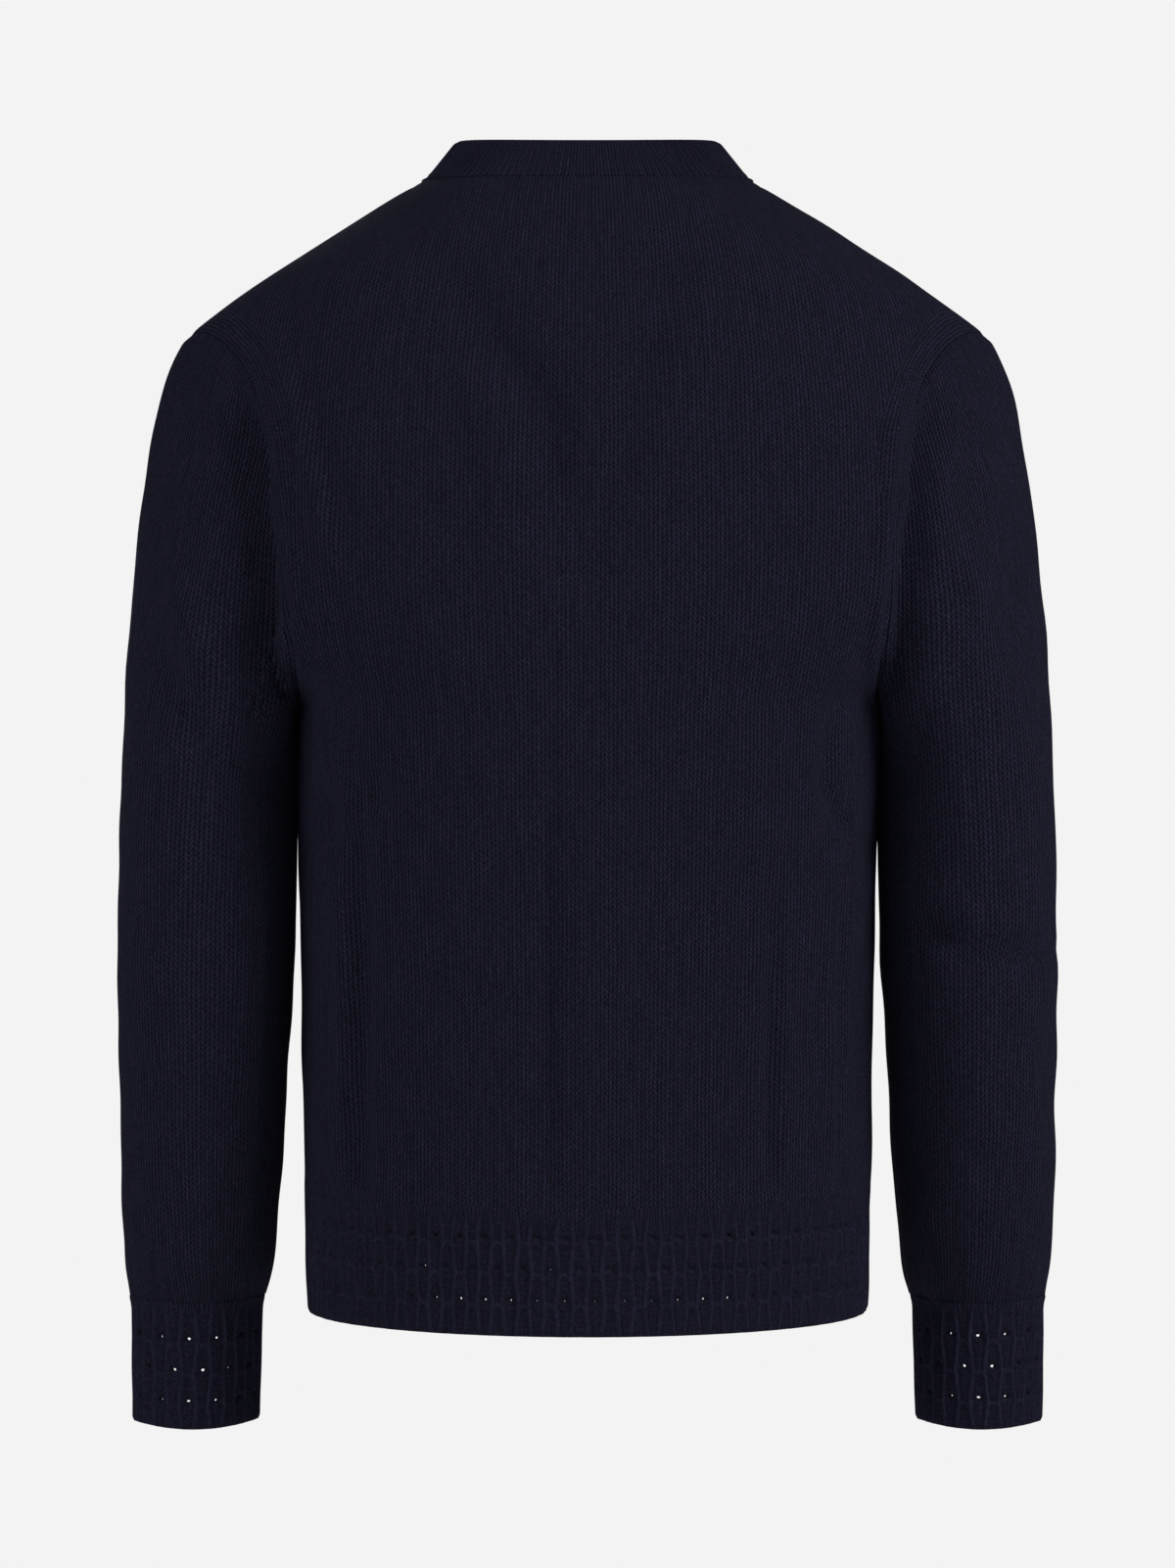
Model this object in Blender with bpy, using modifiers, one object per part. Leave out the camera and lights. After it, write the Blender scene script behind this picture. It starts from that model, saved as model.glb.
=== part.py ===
"""Filled-out knitted cardigan: a back, two fronts, set-in sleeves, neckband, open hem, cuffs and buttons.

The frame is metres with +Z up. The origin is the middle of the line that joins the two points where the
neckband meets the shoulder seams. The wearer faces -Y, and the wearer's left is +X. Every cloth piece is an
open surface, lofted from short tables of sections, that Solidify makes a wall towards the inside.
"""
import math
from collections import namedtuple

import bmesh
import bpy
import numpy as np
from mathutils import Matrix, Vector

# Driving dimensions, in metres.
WALL = 0.0025               # thickness of the knitted cloth
SEAM_GAP = 0.0003           # gap between two pieces that are sewn together
HEM_LEVEL = -0.6435         # lower edge of the back and of the side seams
BAND_SEAM_LEVEL = -0.5740   # where the open-work hem band begins
HEM_MIDDLE = (HEM_LEVEL + BAND_SEAM_LEVEL) / 2
CORE_LEVEL = -0.2500        # height of the form's core, towards which every seam has its inner side
FRONT_RISE = 0.0220         # how much higher the hem hangs at the centre front
SHOULDER_HALF_WIDTH = 0.2290
SHOULDER_DROP = 0.0880
SHOULDER_CROWN = 0.0032     # how far the shoulder seam arches above a straight line
CUFF_SEAM_LEVEL = -0.6380
CUFF_EDGE_LEVEL = -0.7100

# Neckline and neckband.
NECK_HALF_WIDTH = 0.0940
NECK_BACK_DEPTH = 0.0580
NECK_BACK_DROP = 0.0050
NECK_FRONT_DEPTH = 0.0800
NECK_FRONT_DROP = 0.0850
NECK_TOP_HALF_WIDTH = 0.0750
NECK_TOP_BACK_DEPTH = 0.0400
NECK_TOP_FRONT_DEPTH = 0.0670
NECK_TOP_SIDE_LEVEL = 0.0240
NECK_TOP_BACK_LEVEL = 0.0190
NECK_TOP_FRONT_LEVEL = -0.0580
NECK_CURVE = 1.6            # power with which the neck's edges fall from the shoulder to the centre front

# Front opening: two bands of one width, the left one on top of the right one.
BAND_HALF_WIDTH = 0.0150
BAND_STEP = 0.0017          # each band stands this far out of, or in from, the front's own form
BAND_STEP_REACH = 0.0450    # the step fades out over this distance from the band
BUTTON_COUNT = 7
BUTTON_DIAMETER = 0.0180
BUTTON_THICKNESS = 0.0034
BUTTON_RIM = 0.0022
BUTTON_DISH = 0.0008
BUTTON_STANDOFF = 0.0005     # gap between the band and the button's back
LOWEST_BUTTON_RISE = 0.0250  # from the hem's edge to the lowest button
BUTTON_SIDES = 16

# Facets of the lofts.
NECK_STEPS = 6              # half of the back neckline, and each front neckline
SHOULDER_STEPS = 5
SIDE_STEPS = 7              # hem band seam to underarm
ARMHOLE_STEPS = 7           # underarm to the yoke
CAP_STEPS = 3               # yoke to the shoulder seam
BAND_STEPS = 2
SLEEVE_CAP_STEPS = 6
SLEEVE_ARM_STEPS = 10
NECK_SHARE = 0.42           # share of a half panel's turn that lies below the neckline

# Sections of the panels, hem to yoke. Each runs from the centre line to the side seam or armhole edge.
# square is the power of the section's curve (2 is an ellipse), and bow the power with which its level changes.
Row = namedtuple("Row", "name centre_z centre_y edge_x edge_y edge_z square bow")
BACK_ROWS = [
    Row("hem edge", HEM_LEVEL, 0.1165, 0.1604, 0.0000, HEM_LEVEL, 2.00, 3.0),
    Row("hem middle", HEM_MIDDLE, 0.1155, 0.1611, 0.0000, HEM_MIDDLE, 2.00, 3.0),
    Row("band seam", BAND_SEAM_LEVEL, 0.1140, 0.1617, 0.0000, BAND_SEAM_LEVEL, 2.02, 3.0),
    Row("waist", -0.4700, 0.1135, 0.1634, 0.0000, -0.4700, 2.08, 3.0),
    Row("ribs", -0.3880, 0.1155, 0.1647, 0.0000, -0.3880, 2.15, 3.0),
    Row("underarm", -0.3060, 0.1175, 0.1650, 0.0000, -0.3060, 2.20, 3.0),
    Row("armhole foot", -0.2800, 0.1180, 0.1620, 0.0450, -0.2890, 2.25, 3.0),
    Row("armhole turn", -0.2450, 0.1180, 0.1645, 0.0680, -0.2560, 2.30, 3.0),
    Row("armhole middle", -0.2000, 0.1160, 0.1680, 0.0740, -0.2180, 2.30, 3.0),
    Row("armhole upper", -0.1500, 0.1110, 0.1730, 0.0705, -0.1820, 2.25, 2.8),
    Row("blades", -0.1000, 0.1010, 0.1765, 0.0640, -0.1520, 2.20, 2.6),
    Row("yoke", -0.0550, 0.0860, 0.1840, 0.0525, -0.1280, 2.15, 2.4),
]
FRONT_ROWS = [
    Row("hem edge", HEM_LEVEL + FRONT_RISE, -0.1150, 0.1604, 0.0000, HEM_LEVEL, 2.00, 4.0),
    Row("hem middle", HEM_MIDDLE + FRONT_RISE, -0.1150, 0.1611, 0.0000, HEM_MIDDLE, 2.00, 4.0),
    Row("band seam", BAND_SEAM_LEVEL + FRONT_RISE, -0.1150, 0.1617, 0.0000, BAND_SEAM_LEVEL, 2.02, 4.0),
    Row("waist", -0.4650, -0.1170, 0.1634, 0.0000, -0.4700, 2.08, 3.0),
    Row("ribs", -0.3860, -0.1220, 0.1647, 0.0000, -0.3880, 2.15, 3.0),
    Row("underarm", -0.3060, -0.1250, 0.1650, 0.0000, -0.3060, 2.20, 3.0),
    Row("armhole foot", -0.2830, -0.1255, 0.1605, -0.0450, -0.2880, 2.25, 3.0),
    Row("armhole turn", -0.2540, -0.1250, 0.1620, -0.0680, -0.2560, 2.30, 3.0),
    Row("armhole middle", -0.2200, -0.1230, 0.1640, -0.0750, -0.2180, 2.30, 3.0),
    Row("armhole upper", -0.1860, -0.1190, 0.1690, -0.0720, -0.1800, 2.25, 3.0),
    Row("chest", -0.1550, -0.1120, 0.1745, -0.0645, -0.1510, 2.20, 3.0),
    Row("yoke", -0.1270, -0.1020, 0.1830, -0.0525, -0.1270, 2.15, 3.0),
]
BAND_SEAM_ROW = 2
UNDERARM_ROW = 5
EDGE_Y = Row._fields.index("edge_y") - 1
UNDER_YOKE = 0.02           # just below the yoke, where the direction of its bend is read

# Rings of a sleeve and its cuff, for the wearer's left. turn is in degrees about the upright, and skew is the
# share of the cuff's slant that the ring has.
Ring = namedtuple("Ring", "name level centre_x centre_y half_width half_depth turn skew")
SLEEVE_RINGS = [
    Ring("upper arm", -0.3450, 0.2164, 0.000, 0.0499, 0.0620, 0.0, 0.00),
    Ring("above elbow", -0.3880, 0.2169, 0.000, 0.0505, 0.0605, 0.0, 0.00),
    Ring("elbow", -0.4525, 0.2182, -0.002, 0.0501, 0.0585, 1.0, 0.10),
    Ring("forearm", -0.5085, 0.2198, -0.005, 0.0482, 0.0550, 2.5, 0.30),
    Ring("lower forearm", -0.5645, 0.2216, -0.008, 0.0462, 0.0500, 4.0, 0.60),
    Ring("wrist fullness", -0.5925, 0.2224, -0.010, 0.0445, 0.0460, 5.0, 0.80),
    Ring("gather", -0.6205, 0.2233, -0.011, 0.0421, 0.0395, 6.0, 0.95),
    Ring("cuff seam", CUFF_SEAM_LEVEL, 0.2240, -0.011, 0.0388, 0.0310, 6.0, 1.00),
]
CUFF_RINGS = [
    Ring("cuff seam", CUFF_SEAM_LEVEL, 0.2242, -0.011, 0.0381, 0.0307, 6.0, 1.00),
    Ring("cuff middle", -0.6730, 0.2246, -0.011, 0.0376, 0.0300, 6.0, 1.00),
    Ring("cuff edge", CUFF_EDGE_LEVEL, 0.2249, -0.011, 0.0368, 0.0295, 6.0, 1.00),
]
CUFF_SLANT = 0.00425        # the cuff's rear stands this far above its middle, and its front as far below
CUFF_SIDE_LIFT = 0.00550    # and its two sides are lifted
CAP_START_PULL = 0.50       # how strongly the sleeve head leaves the armhole, in spans
CAP_END_PULL = 0.50         # and how strongly it hangs down into the upper arm

# Directions in which the panels reach the neckline and the shoulder seam, and the sleeve leaves the armhole.
BACK_NECK_LEAN = Vector((0.0, -0.60, 0.80))
FRONT_NECK_LEAN = Vector((0.0, -0.43, 0.90))
NECK_CORNER_TURN = math.radians(45)
OUTER_CORNER_TURN = math.radians(40)
SLEEVE_LEAVES_TOP = Vector((0.64, 0.0, -0.77))
SLEEVE_LEAVES_SIDE = Vector((0.66, 0.16, -0.74))
SLEEVE_LEAVES_FOOT = Vector((0.45, 0.0, -1.0))

# Colours of the materials, linear.
NAVY_WOOL = (0.0065, 0.0066, 0.0130, 1.0)
NAVY_RIB = (0.0060, 0.0061, 0.0120, 1.0)
DARK_HORN = (0.0100, 0.0095, 0.0110, 1.0)


def smooth_table(rows, picks):
    """Read a table's number columns at fractional row indexes, on one smooth curve through its rows."""
    values = np.array([row[1:] for row in rows], dtype=float)
    run = np.linalg.norm(np.diff(values[:, :5], axis=0), axis=1)
    at = np.concatenate([[0.0], np.cumsum(run)])
    slopes = np.gradient(values, at, axis=0)
    result = []
    for pick in picks:
        first = min(int(pick), len(rows) - 2)
        span = at[first + 1] - at[first]
        result.append(hermite(values[first], slopes[first] * span, values[first + 1],
                              slopes[first + 1] * span, pick - first))
    return result


def hermite(start, start_pull, end, end_pull, share):
    """Blend two ends and their pulls with a cubic."""
    square = share * share
    cube = square * share
    return (start * (2 * cube - 3 * square + 1) + start_pull * (cube - 2 * square + share)
            + end * (3 * square - 2 * cube) + end_pull * (cube - square))


def panel_shares(start):
    """Return the shares of a half panel's turn, closer together below the neckline."""
    neck = [start + (NECK_SHARE - start) * i / NECK_STEPS for i in range(NECK_STEPS)]
    shoulder = [NECK_SHARE + (1 - NECK_SHARE) * i / SHOULDER_STEPS for i in range(SHOULDER_STEPS + 1)]
    return neck + shoulder


def section_point(row, share):
    """Return the point of a panel's section at a share of its turn from the centre line to its edge."""
    centre_z, centre_y, edge_x, edge_y, edge_z, square, bow = row
    depth = abs(centre_y)
    edge_share = min(abs(edge_y) / depth, 1.0)
    half_width = edge_x / (1.0 - edge_share ** square) ** (1.0 / square)
    full_turn = math.acos(edge_share ** (square / 2))
    turn = full_turn * share
    x = half_width * math.sin(turn) ** (2 / square)
    y = depth * max(math.cos(turn), 0.0) ** (2 / square)
    z = centre_z + (edge_z - centre_z) * min(x / edge_x, 1.0) ** bow
    return Vector((x, math.copysign(y, centre_y), z))


def share_at_width(row, width):
    """Find the share of a section's turn at which it is a given width from the centre line."""
    low, high = 0.0, 1.0
    for _ in range(40):
        middle = (low + high) / 2
        if section_point(row, middle).x < width:
            low = middle
        else:
            high = middle
    return (low + high) / 2


def back_neckline(turn):
    """Return a point of the back neckline, from the centre back (0) to the shoulder seam (a quarter turn)."""
    drop = NECK_BACK_DROP * math.cos(turn) ** 2
    return Vector((NECK_HALF_WIDTH * math.sin(turn), NECK_BACK_DEPTH * math.cos(turn), -drop))


def front_neckline(turn):
    """Return a point of the front neckline, from the centre front (0) to the shoulder seam."""
    drop = NECK_FRONT_DROP * math.cos(turn) ** NECK_CURVE
    return Vector((NECK_HALF_WIDTH * math.sin(turn), -NECK_FRONT_DEPTH * math.cos(turn), -drop))


def neckband_top(turn, depth, centre_level):
    """Return a point of the neckband's upper edge above the same turn of the neckline."""
    level = NECK_TOP_SIDE_LEVEL - (NECK_TOP_SIDE_LEVEL - centre_level) * math.cos(turn) ** NECK_CURVE
    return Vector((NECK_TOP_HALF_WIDTH * math.sin(turn), depth * math.cos(turn), level))


def back_top(turn):
    """Return a point of the neckband's upper edge at the back."""
    return neckband_top(turn, NECK_TOP_BACK_DEPTH, NECK_TOP_BACK_LEVEL)


def front_top(turn):
    """Return a point of the neckband's upper edge at the front."""
    return neckband_top(turn, -NECK_TOP_FRONT_DEPTH, NECK_TOP_FRONT_LEVEL)


def shoulder_seam(share):
    """Return a point of the shoulder seam, from the neck (0) to the sleeve (1)."""
    x = NECK_HALF_WIDTH + (SHOULDER_HALF_WIDTH - NECK_HALF_WIDTH) * share
    return Vector((x, 0.0, SHOULDER_CROWN * math.sin(math.pi * share) ** 0.6 - SHOULDER_DROP * share))


def band_turn():
    """Return the turn of the front neckline at the edge of the button band."""
    return math.asin(BAND_HALF_WIDTH / NECK_HALF_WIDTH)


def top_edge(neckline, start_turn):
    """List the points of a half panel's upper edge: its neckline, then its shoulder seam."""
    turns = [start_turn + (math.pi / 2 - start_turn) * i / NECK_STEPS for i in range(NECK_STEPS)]
    seam = [shoulder_seam(i / SHOULDER_STEPS) for i in range(SHOULDER_STEPS + 1)]
    return [neckline(turn) for turn in turns] + seam


def over_shoulder(turn):
    """Return a direction across the shoulder seam, towards -Y, turned towards the neck along the seam."""
    seam = (shoulder_seam(0.0) - shoulder_seam(1.0)).normalized()
    return Vector((0.0, -math.cos(turn), 0.0)) + seam * math.sin(turn)


def top_directions(neck_lean, is_front):
    """List the directions in which a half panel's columns reach its upper edge."""
    corner = over_shoulder(NECK_CORNER_TURN)
    ways = [neck_lean.lerp(corner, i / NECK_STEPS).normalized() for i in range(NECK_STEPS)]
    for i in range(SHOULDER_STEPS + 1):
        share = i / SHOULDER_STEPS
        ways.append(over_shoulder(NECK_CORNER_TURN * (1 - share) ** 2 - OUTER_CORNER_TURN * share ** 4))
    return [Vector((way.x, -way.y, way.z)) for way in ways] if is_front else ways


def front_step(x, side):
    """Return how far a front stands out (left) or in (right) near the opening, so that the bands overlap."""
    reach = max(x - BAND_HALF_WIDTH, 0.0) / BAND_STEP_REACH
    return -side * BAND_STEP * math.exp(-reach * reach)


def panel_lines(rows, picks, shares_of):
    """Work out a panel's sections at fractional row indexes. Below the underarm they end on the side seam."""
    lines = []
    for pick, row in zip(picks, smooth_table(rows, picks)):
        if pick <= UNDERARM_ROW:
            row[EDGE_Y] = 0.0
        lines.append([section_point(row, share) for share in shares_of(row)])
    return lines


def half_panel(rows, picks, shares_of, top, directions):
    """Loft half a panel from its sections, and bend it over to its upper edge. Rows run upwards."""
    grid = panel_lines(rows, picks, shares_of)
    if top is None:
        return grid
    last = grid[-1]
    before = panel_lines(rows, [picks[-1] - UNDER_YOKE], shares_of)[0]
    for step in range(1, CAP_STEPS + 1):
        line = []
        for lower, under, upper, direction in zip(last, before, top, directions):
            span = (upper - lower).length
            pull = (lower - under).normalized() * span
            line.append(hermite(lower, pull, upper, direction * span, step / CAP_STEPS))
        grid.append(line)
    return grid


def panel_picks():
    """List the fractional row indexes of a panel's sections, from the band seam to the yoke."""
    side = [BAND_SEAM_ROW + (UNDERARM_ROW - BAND_SEAM_ROW) * i / SIDE_STEPS for i in range(SIDE_STEPS)]
    span = len(BACK_ROWS) - 1 - UNDERARM_ROW
    arm = [UNDERARM_ROW + span * i / ARMHOLE_STEPS for i in range(ARMHOLE_STEPS + 1)]
    return side + arm


def hem_picks():
    """List the fractional row indexes of a hem band's sections, from the edge to the band seam."""
    return [BAND_SEAM_ROW * i / BAND_STEPS for i in range(BAND_STEPS + 1)]


def back_shares(_row):
    """Return the shares of every section of the back."""
    return panel_shares(0.0)


def front_shares(row):
    """Return the shares of a front's section, which begins at the edge of the button band."""
    return panel_shares(share_at_width(row, BAND_HALF_WIDTH))


def whole_back(half):
    """Join a half grid and its mirror image across the centre back."""
    return [[Vector((-p.x, p.y, p.z)) for p in line[:0:-1]] + line for line in half]


def sew_side(back_half, front_half, count):
    """Give the front's side seam the back's points, over the first sections."""
    for back_line, front_line in zip(back_half[:count], front_half):
        front_line[-1] = back_line[-1].copy()


def one_front(half, side):
    """Place half a front on its side (+1 left, -1 right), with its step near the opening."""
    stepped = [[Vector((p.x, p.y + front_step(p.x, side), p.z)) for p in line] for line in half]
    return on_side(stepped, side)


def seam_room(point, own_way, beyond_way):
    """Return how far a seam's point is drawn in: half the gap, and more where the seam folds outwards.

    A fold that sticks out brings the inner corners of the two walls together, so they need the extra room.
    """
    room = SEAM_GAP / 2
    core = Vector((point.x / 2, 0.0, CORE_LEVEL))
    if (own_way + beyond_way).dot(core - point) > 0.0:
        room += WALL * math.tan((math.pi - own_way.angle(beyond_way)) / 2)
    return room


def across(way, along):
    """Return the part of a direction that is square to a seam, as a unit vector."""
    return (way - along * way.dot(along)).normalized()


def inset(grid, seams, is_closed=False):
    """Draw the named boundaries of a grid in, and return the new grid.

    seams holds, for each boundary, the neighbour's points just beyond the seam, or None where it lies flat.
    """
    turned = [list(line) for line in zip(*grid)]
    lines = {
        "bottom": (grid[0], grid[1]),
        "top": (grid[-1], grid[-2]),
        "first": (turned[0], turned[1]),
        "last": (turned[-1], turned[-2]),
    }
    rows, columns = len(grid), len(grid[0])
    places = {
        "bottom": lambda index: (0, index),
        "top": lambda index: (rows - 1, index),
        "first": lambda index: (index, 0),
        "last": lambda index: (index, columns - 1),
    }
    moved = [[point.copy() for point in line] for line in grid]
    for side, beyond in seams.items():
        edge, inner = lines[side]
        count = len(edge)
        for index, (point, own) in enumerate(zip(edge, inner)):
            before = edge[index - 1] if index or is_closed else point
            after = edge[(index + 1) % count] if index < count - 1 or is_closed else point
            along = (after - before).normalized()
            way = (own - point).normalized()
            square = across(way, along)
            room = SEAM_GAP / 2
            if beyond and beyond[index]:
                room = seam_room(point, square, across(beyond[index] - point, along))
            row, column = places[side](index)
            moved[row][column] += way * room / way.dot(square)
    return moved


def shoulder_beyond(other_half):
    """List what lies beyond a half panel's upper edge: nothing to clear at the neck, the other panel after it."""
    return [None] * NECK_STEPS + other_half[-2][NECK_STEPS:]


def edge_beyond(other_half, sleeve, is_front):
    """List what lies beyond a half panel's outer edge: the other panel below the underarm, then the sleeve."""
    columns = len(sleeve[0])
    half = columns // 2
    ring = sleeve[1]
    steps = range(half - 1, -1, -1)
    armhole = [ring[(columns - step) % columns if is_front else step] for step in steps]
    return [line[-2] for line in other_half[:SIDE_STEPS + 1]] + armhole


def armhole_beyond(back_half, front_half):
    """List what lies beyond the sleeve's first ring: the back, nothing at the foot, and the front."""
    down = [line[-2] for line in back_half[SIDE_STEPS + 1:]][::-1]
    up = [line[-2] for line in front_half[SIDE_STEPS + 1:]]
    return down + [None] + up[:-1]


def cloth_object(name, grid, is_closed, is_flipped, material, collection):
    """Make a cloth piece from a grid of points: an open surface, and Solidify towards the inside."""
    mesh = bpy.data.meshes.new(name)
    bm = bmesh.new()
    lines = [[bm.verts.new(point) for point in line] for line in grid]
    width = len(grid[0])
    for lower, upper in zip(lines, lines[1:]):
        for column in range(width if is_closed else width - 1):
            after = (column + 1) % width
            corners = [lower[column], lower[after], upper[after], upper[column]]
            bm.faces.new(corners[::-1] if is_flipped else corners)
    bm.to_mesh(mesh)
    bm.free()
    mesh.shade_smooth()
    piece = bpy.data.objects.new(name, mesh)
    collection.objects.link(piece)
    mesh.materials.append(material)
    wall = piece.modifiers.new("Wall", "SOLIDIFY")
    wall.thickness = WALL
    wall.offset = -1.0
    return piece


def ring_point(ring, turn):
    """Return a point of a sleeve ring. A turn of 0 is the outer side, a quarter is the back, a half the inner."""
    level, centre_x, centre_y, half_width, half_depth, twist, skew = ring
    across = half_width * math.cos(turn)
    deep = half_depth * math.sin(turn)
    angle = math.radians(twist)
    x = centre_x + across * math.cos(angle) - deep * math.sin(angle)
    y = centre_y + across * math.sin(angle) + deep * math.cos(angle)
    slant = CUFF_SLANT * (math.sin(turn) - 1.0) + CUFF_SIDE_LIFT * math.cos(turn) ** 2
    return Vector((x, y, level + skew * slant))


def ring_points(ring, columns):
    """List the points around a sleeve ring."""
    return [ring_point(ring, 2 * math.pi * i / columns) for i in range(columns)]


def armhole_loop(back_half, front_half):
    """List the armhole's points: from the shoulder point down the back, and up the front."""
    foot = SIDE_STEPS
    down = [line[-1] for line in back_half[foot:]][::-1]
    up = [line[-1] for line in front_half[foot:]]
    return down + up[1:-1]


def leaving_direction(share):
    """Return the direction in which the sleeve leaves the armhole, from the shoulder point (0) to its foot (1)."""
    if share < 0.5:
        return SLEEVE_LEAVES_TOP.lerp(SLEEVE_LEAVES_SIDE, share * 2).normalized()
    return SLEEVE_LEAVES_SIDE.lerp(SLEEVE_LEAVES_FOOT, (share * 2 - 1) ** 1.3).normalized()


def sleeve_grid(loop):
    """Loft a left sleeve: its head from the armhole loop to the upper arm, then ring by ring to the cuff seam."""
    columns = len(loop)
    arm_picks = [(len(SLEEVE_RINGS) - 1) * i / SLEEVE_ARM_STEPS for i in range(SLEEVE_ARM_STEPS + 1)]
    arm = [ring_points(ring, columns) for ring in smooth_table(SLEEVE_RINGS, arm_picks)]
    head = [[] for _ in range(SLEEVE_CAP_STEPS)]
    for column, start in enumerate(loop):
        direction = leaving_direction(1.0 - abs(2.0 * column / columns - 1.0))
        if column > columns // 2:
            direction.y = -direction.y
        end = arm[0][column]
        span = (end - start).length
        down = Vector((0.0, 0.0, -span * CAP_END_PULL))
        for step, line in enumerate(head):
            line.append(hermite(start, direction * span * CAP_START_PULL, end, down, step / SLEEVE_CAP_STEPS))
    return head + arm


def cuff_grid(columns):
    """Loft a left cuff from its seam to its edge."""
    return [ring_points(ring[1:], columns) for ring in CUFF_RINGS]


def on_side(grid, side):
    """Return a grid of the wearer's left side, mirrored when the side is the right one (-1)."""
    return [[Vector((side * point.x, point.y, point.z)) for point in line] for line in grid]


def neckband_grid():
    """Loft the neckband from the neckline to its upper edge, left end over right end at the centre front."""
    start = band_turn()
    front_turns = [start + (math.pi / 2 - start) * i / NECK_STEPS for i in range(NECK_STEPS)]
    back_turns = [math.pi / 2 * i / NECK_STEPS for i in range(NECK_STEPS + 1)]
    edges = []
    for front_line, back_line in ((front_neckline, back_neckline), (front_top, back_top)):
        lap = front_line(start)
        left = [Vector((x, lap.y, lap.z)) for x in (-BAND_HALF_WIDTH, 0.0)]
        left += [front_line(turn) for turn in front_turns]
        for point in left:
            point.y += front_step(point.x, 1)
        left += [back_line(turn) for turn in back_turns[::-1]]
        right = [back_line(turn) for turn in back_turns[1:]]
        front = [front_line(turn) for turn in front_turns[::-1]]
        front += [Vector((x, lap.y, lap.z)) for x in (0.0, -BAND_HALF_WIDTH)]
        for point in front:
            point.y += front_step(point.x, -1)
        edges.append(left + [Vector((-point.x, point.y, point.z)) for point in right + front])
    base, top = edges
    middle = [low.lerp(high, 0.5) for low, high in zip(base, top)]
    return [base, middle, top]


def opening_band_grid(front_half, hem_half, side):
    """Loft a button band from the hem's edge to the neckline, on the edge points of its front."""
    edge = [line[0] for line in hem_half] + [line[0] for line in front_half[1:]]
    grid = []
    for point in edge:
        y = point.y + front_step(BAND_HALF_WIDTH, side)
        xs = (side * BAND_HALF_WIDTH, 0.0, -side * BAND_HALF_WIDTH)
        grid.append([Vector((x, y, point.z)) for x in xs])
    return grid


def front_profile(grid):
    """Return the middle line of the band on top, from the hem upwards."""
    return [line[1] for line in grid]


def profile_frame(profile, level):
    """Return the point and the tilt of the opening's profile at a level."""
    for low, high in zip(profile, profile[1:]):
        if low.z <= level <= high.z:
            share = (level - low.z) / (high.z - low.z)
            tilt = math.atan2(high.y - low.y, high.z - low.z)
            return low.lerp(high, share), tilt
    raise ValueError("the level is off the profile")


def button_mesh(material):
    """Turn a button: a flat back, a rounded rim and a dished face towards local +Z."""
    radius = BUTTON_DIAMETER / 2
    profile = [
        (0.0, BUTTON_THICKNESS - BUTTON_DISH),
        (radius - BUTTON_RIM, BUTTON_THICKNESS - BUTTON_DISH),
        (radius - BUTTON_RIM * 0.5, BUTTON_THICKNESS),
        (radius, BUTTON_THICKNESS * 0.6),
        (radius, BUTTON_THICKNESS * 0.3),
        (radius - BUTTON_RIM * 0.5, 0.0),
        (0.0, 0.0),
    ]
    mesh = bpy.data.meshes.new("button")
    bm = bmesh.new()
    verts = [bm.verts.new((x, 0.0, z)) for x, z in profile]
    for first, second in zip(verts, verts[1:]):
        bm.edges.new((first, second))
    bmesh.ops.spin(bm, geom=verts + bm.edges[:], cent=(0, 0, 0), axis=(0, 0, 1), angle=-2 * math.pi,
                   steps=BUTTON_SIDES, use_merge=True)
    bmesh.ops.remove_doubles(bm, verts=bm.verts, dist=0.00001)
    bmesh.ops.recalc_face_normals(bm, faces=bm.faces)
    bm.to_mesh(mesh)
    bm.free()
    mesh.shade_smooth()
    mesh.set_sharp_from_angle(angle=math.radians(35))
    mesh.materials.append(material)
    return mesh


def principled(name, colour, roughness):
    """Make a plain material of one colour."""
    material = bpy.data.materials.new(name)
    material.use_nodes = True
    shader = material.node_tree.nodes["Principled BSDF"]
    shader.inputs["Base Color"].default_value = colour
    shader.inputs["Roughness"].default_value = roughness
    shader.inputs["Metallic"].default_value = 0.0
    return material


def clear_scene():
    """Remove whatever the scene holds."""
    for item in list(bpy.data.objects):
        bpy.data.objects.remove(item)


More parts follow.
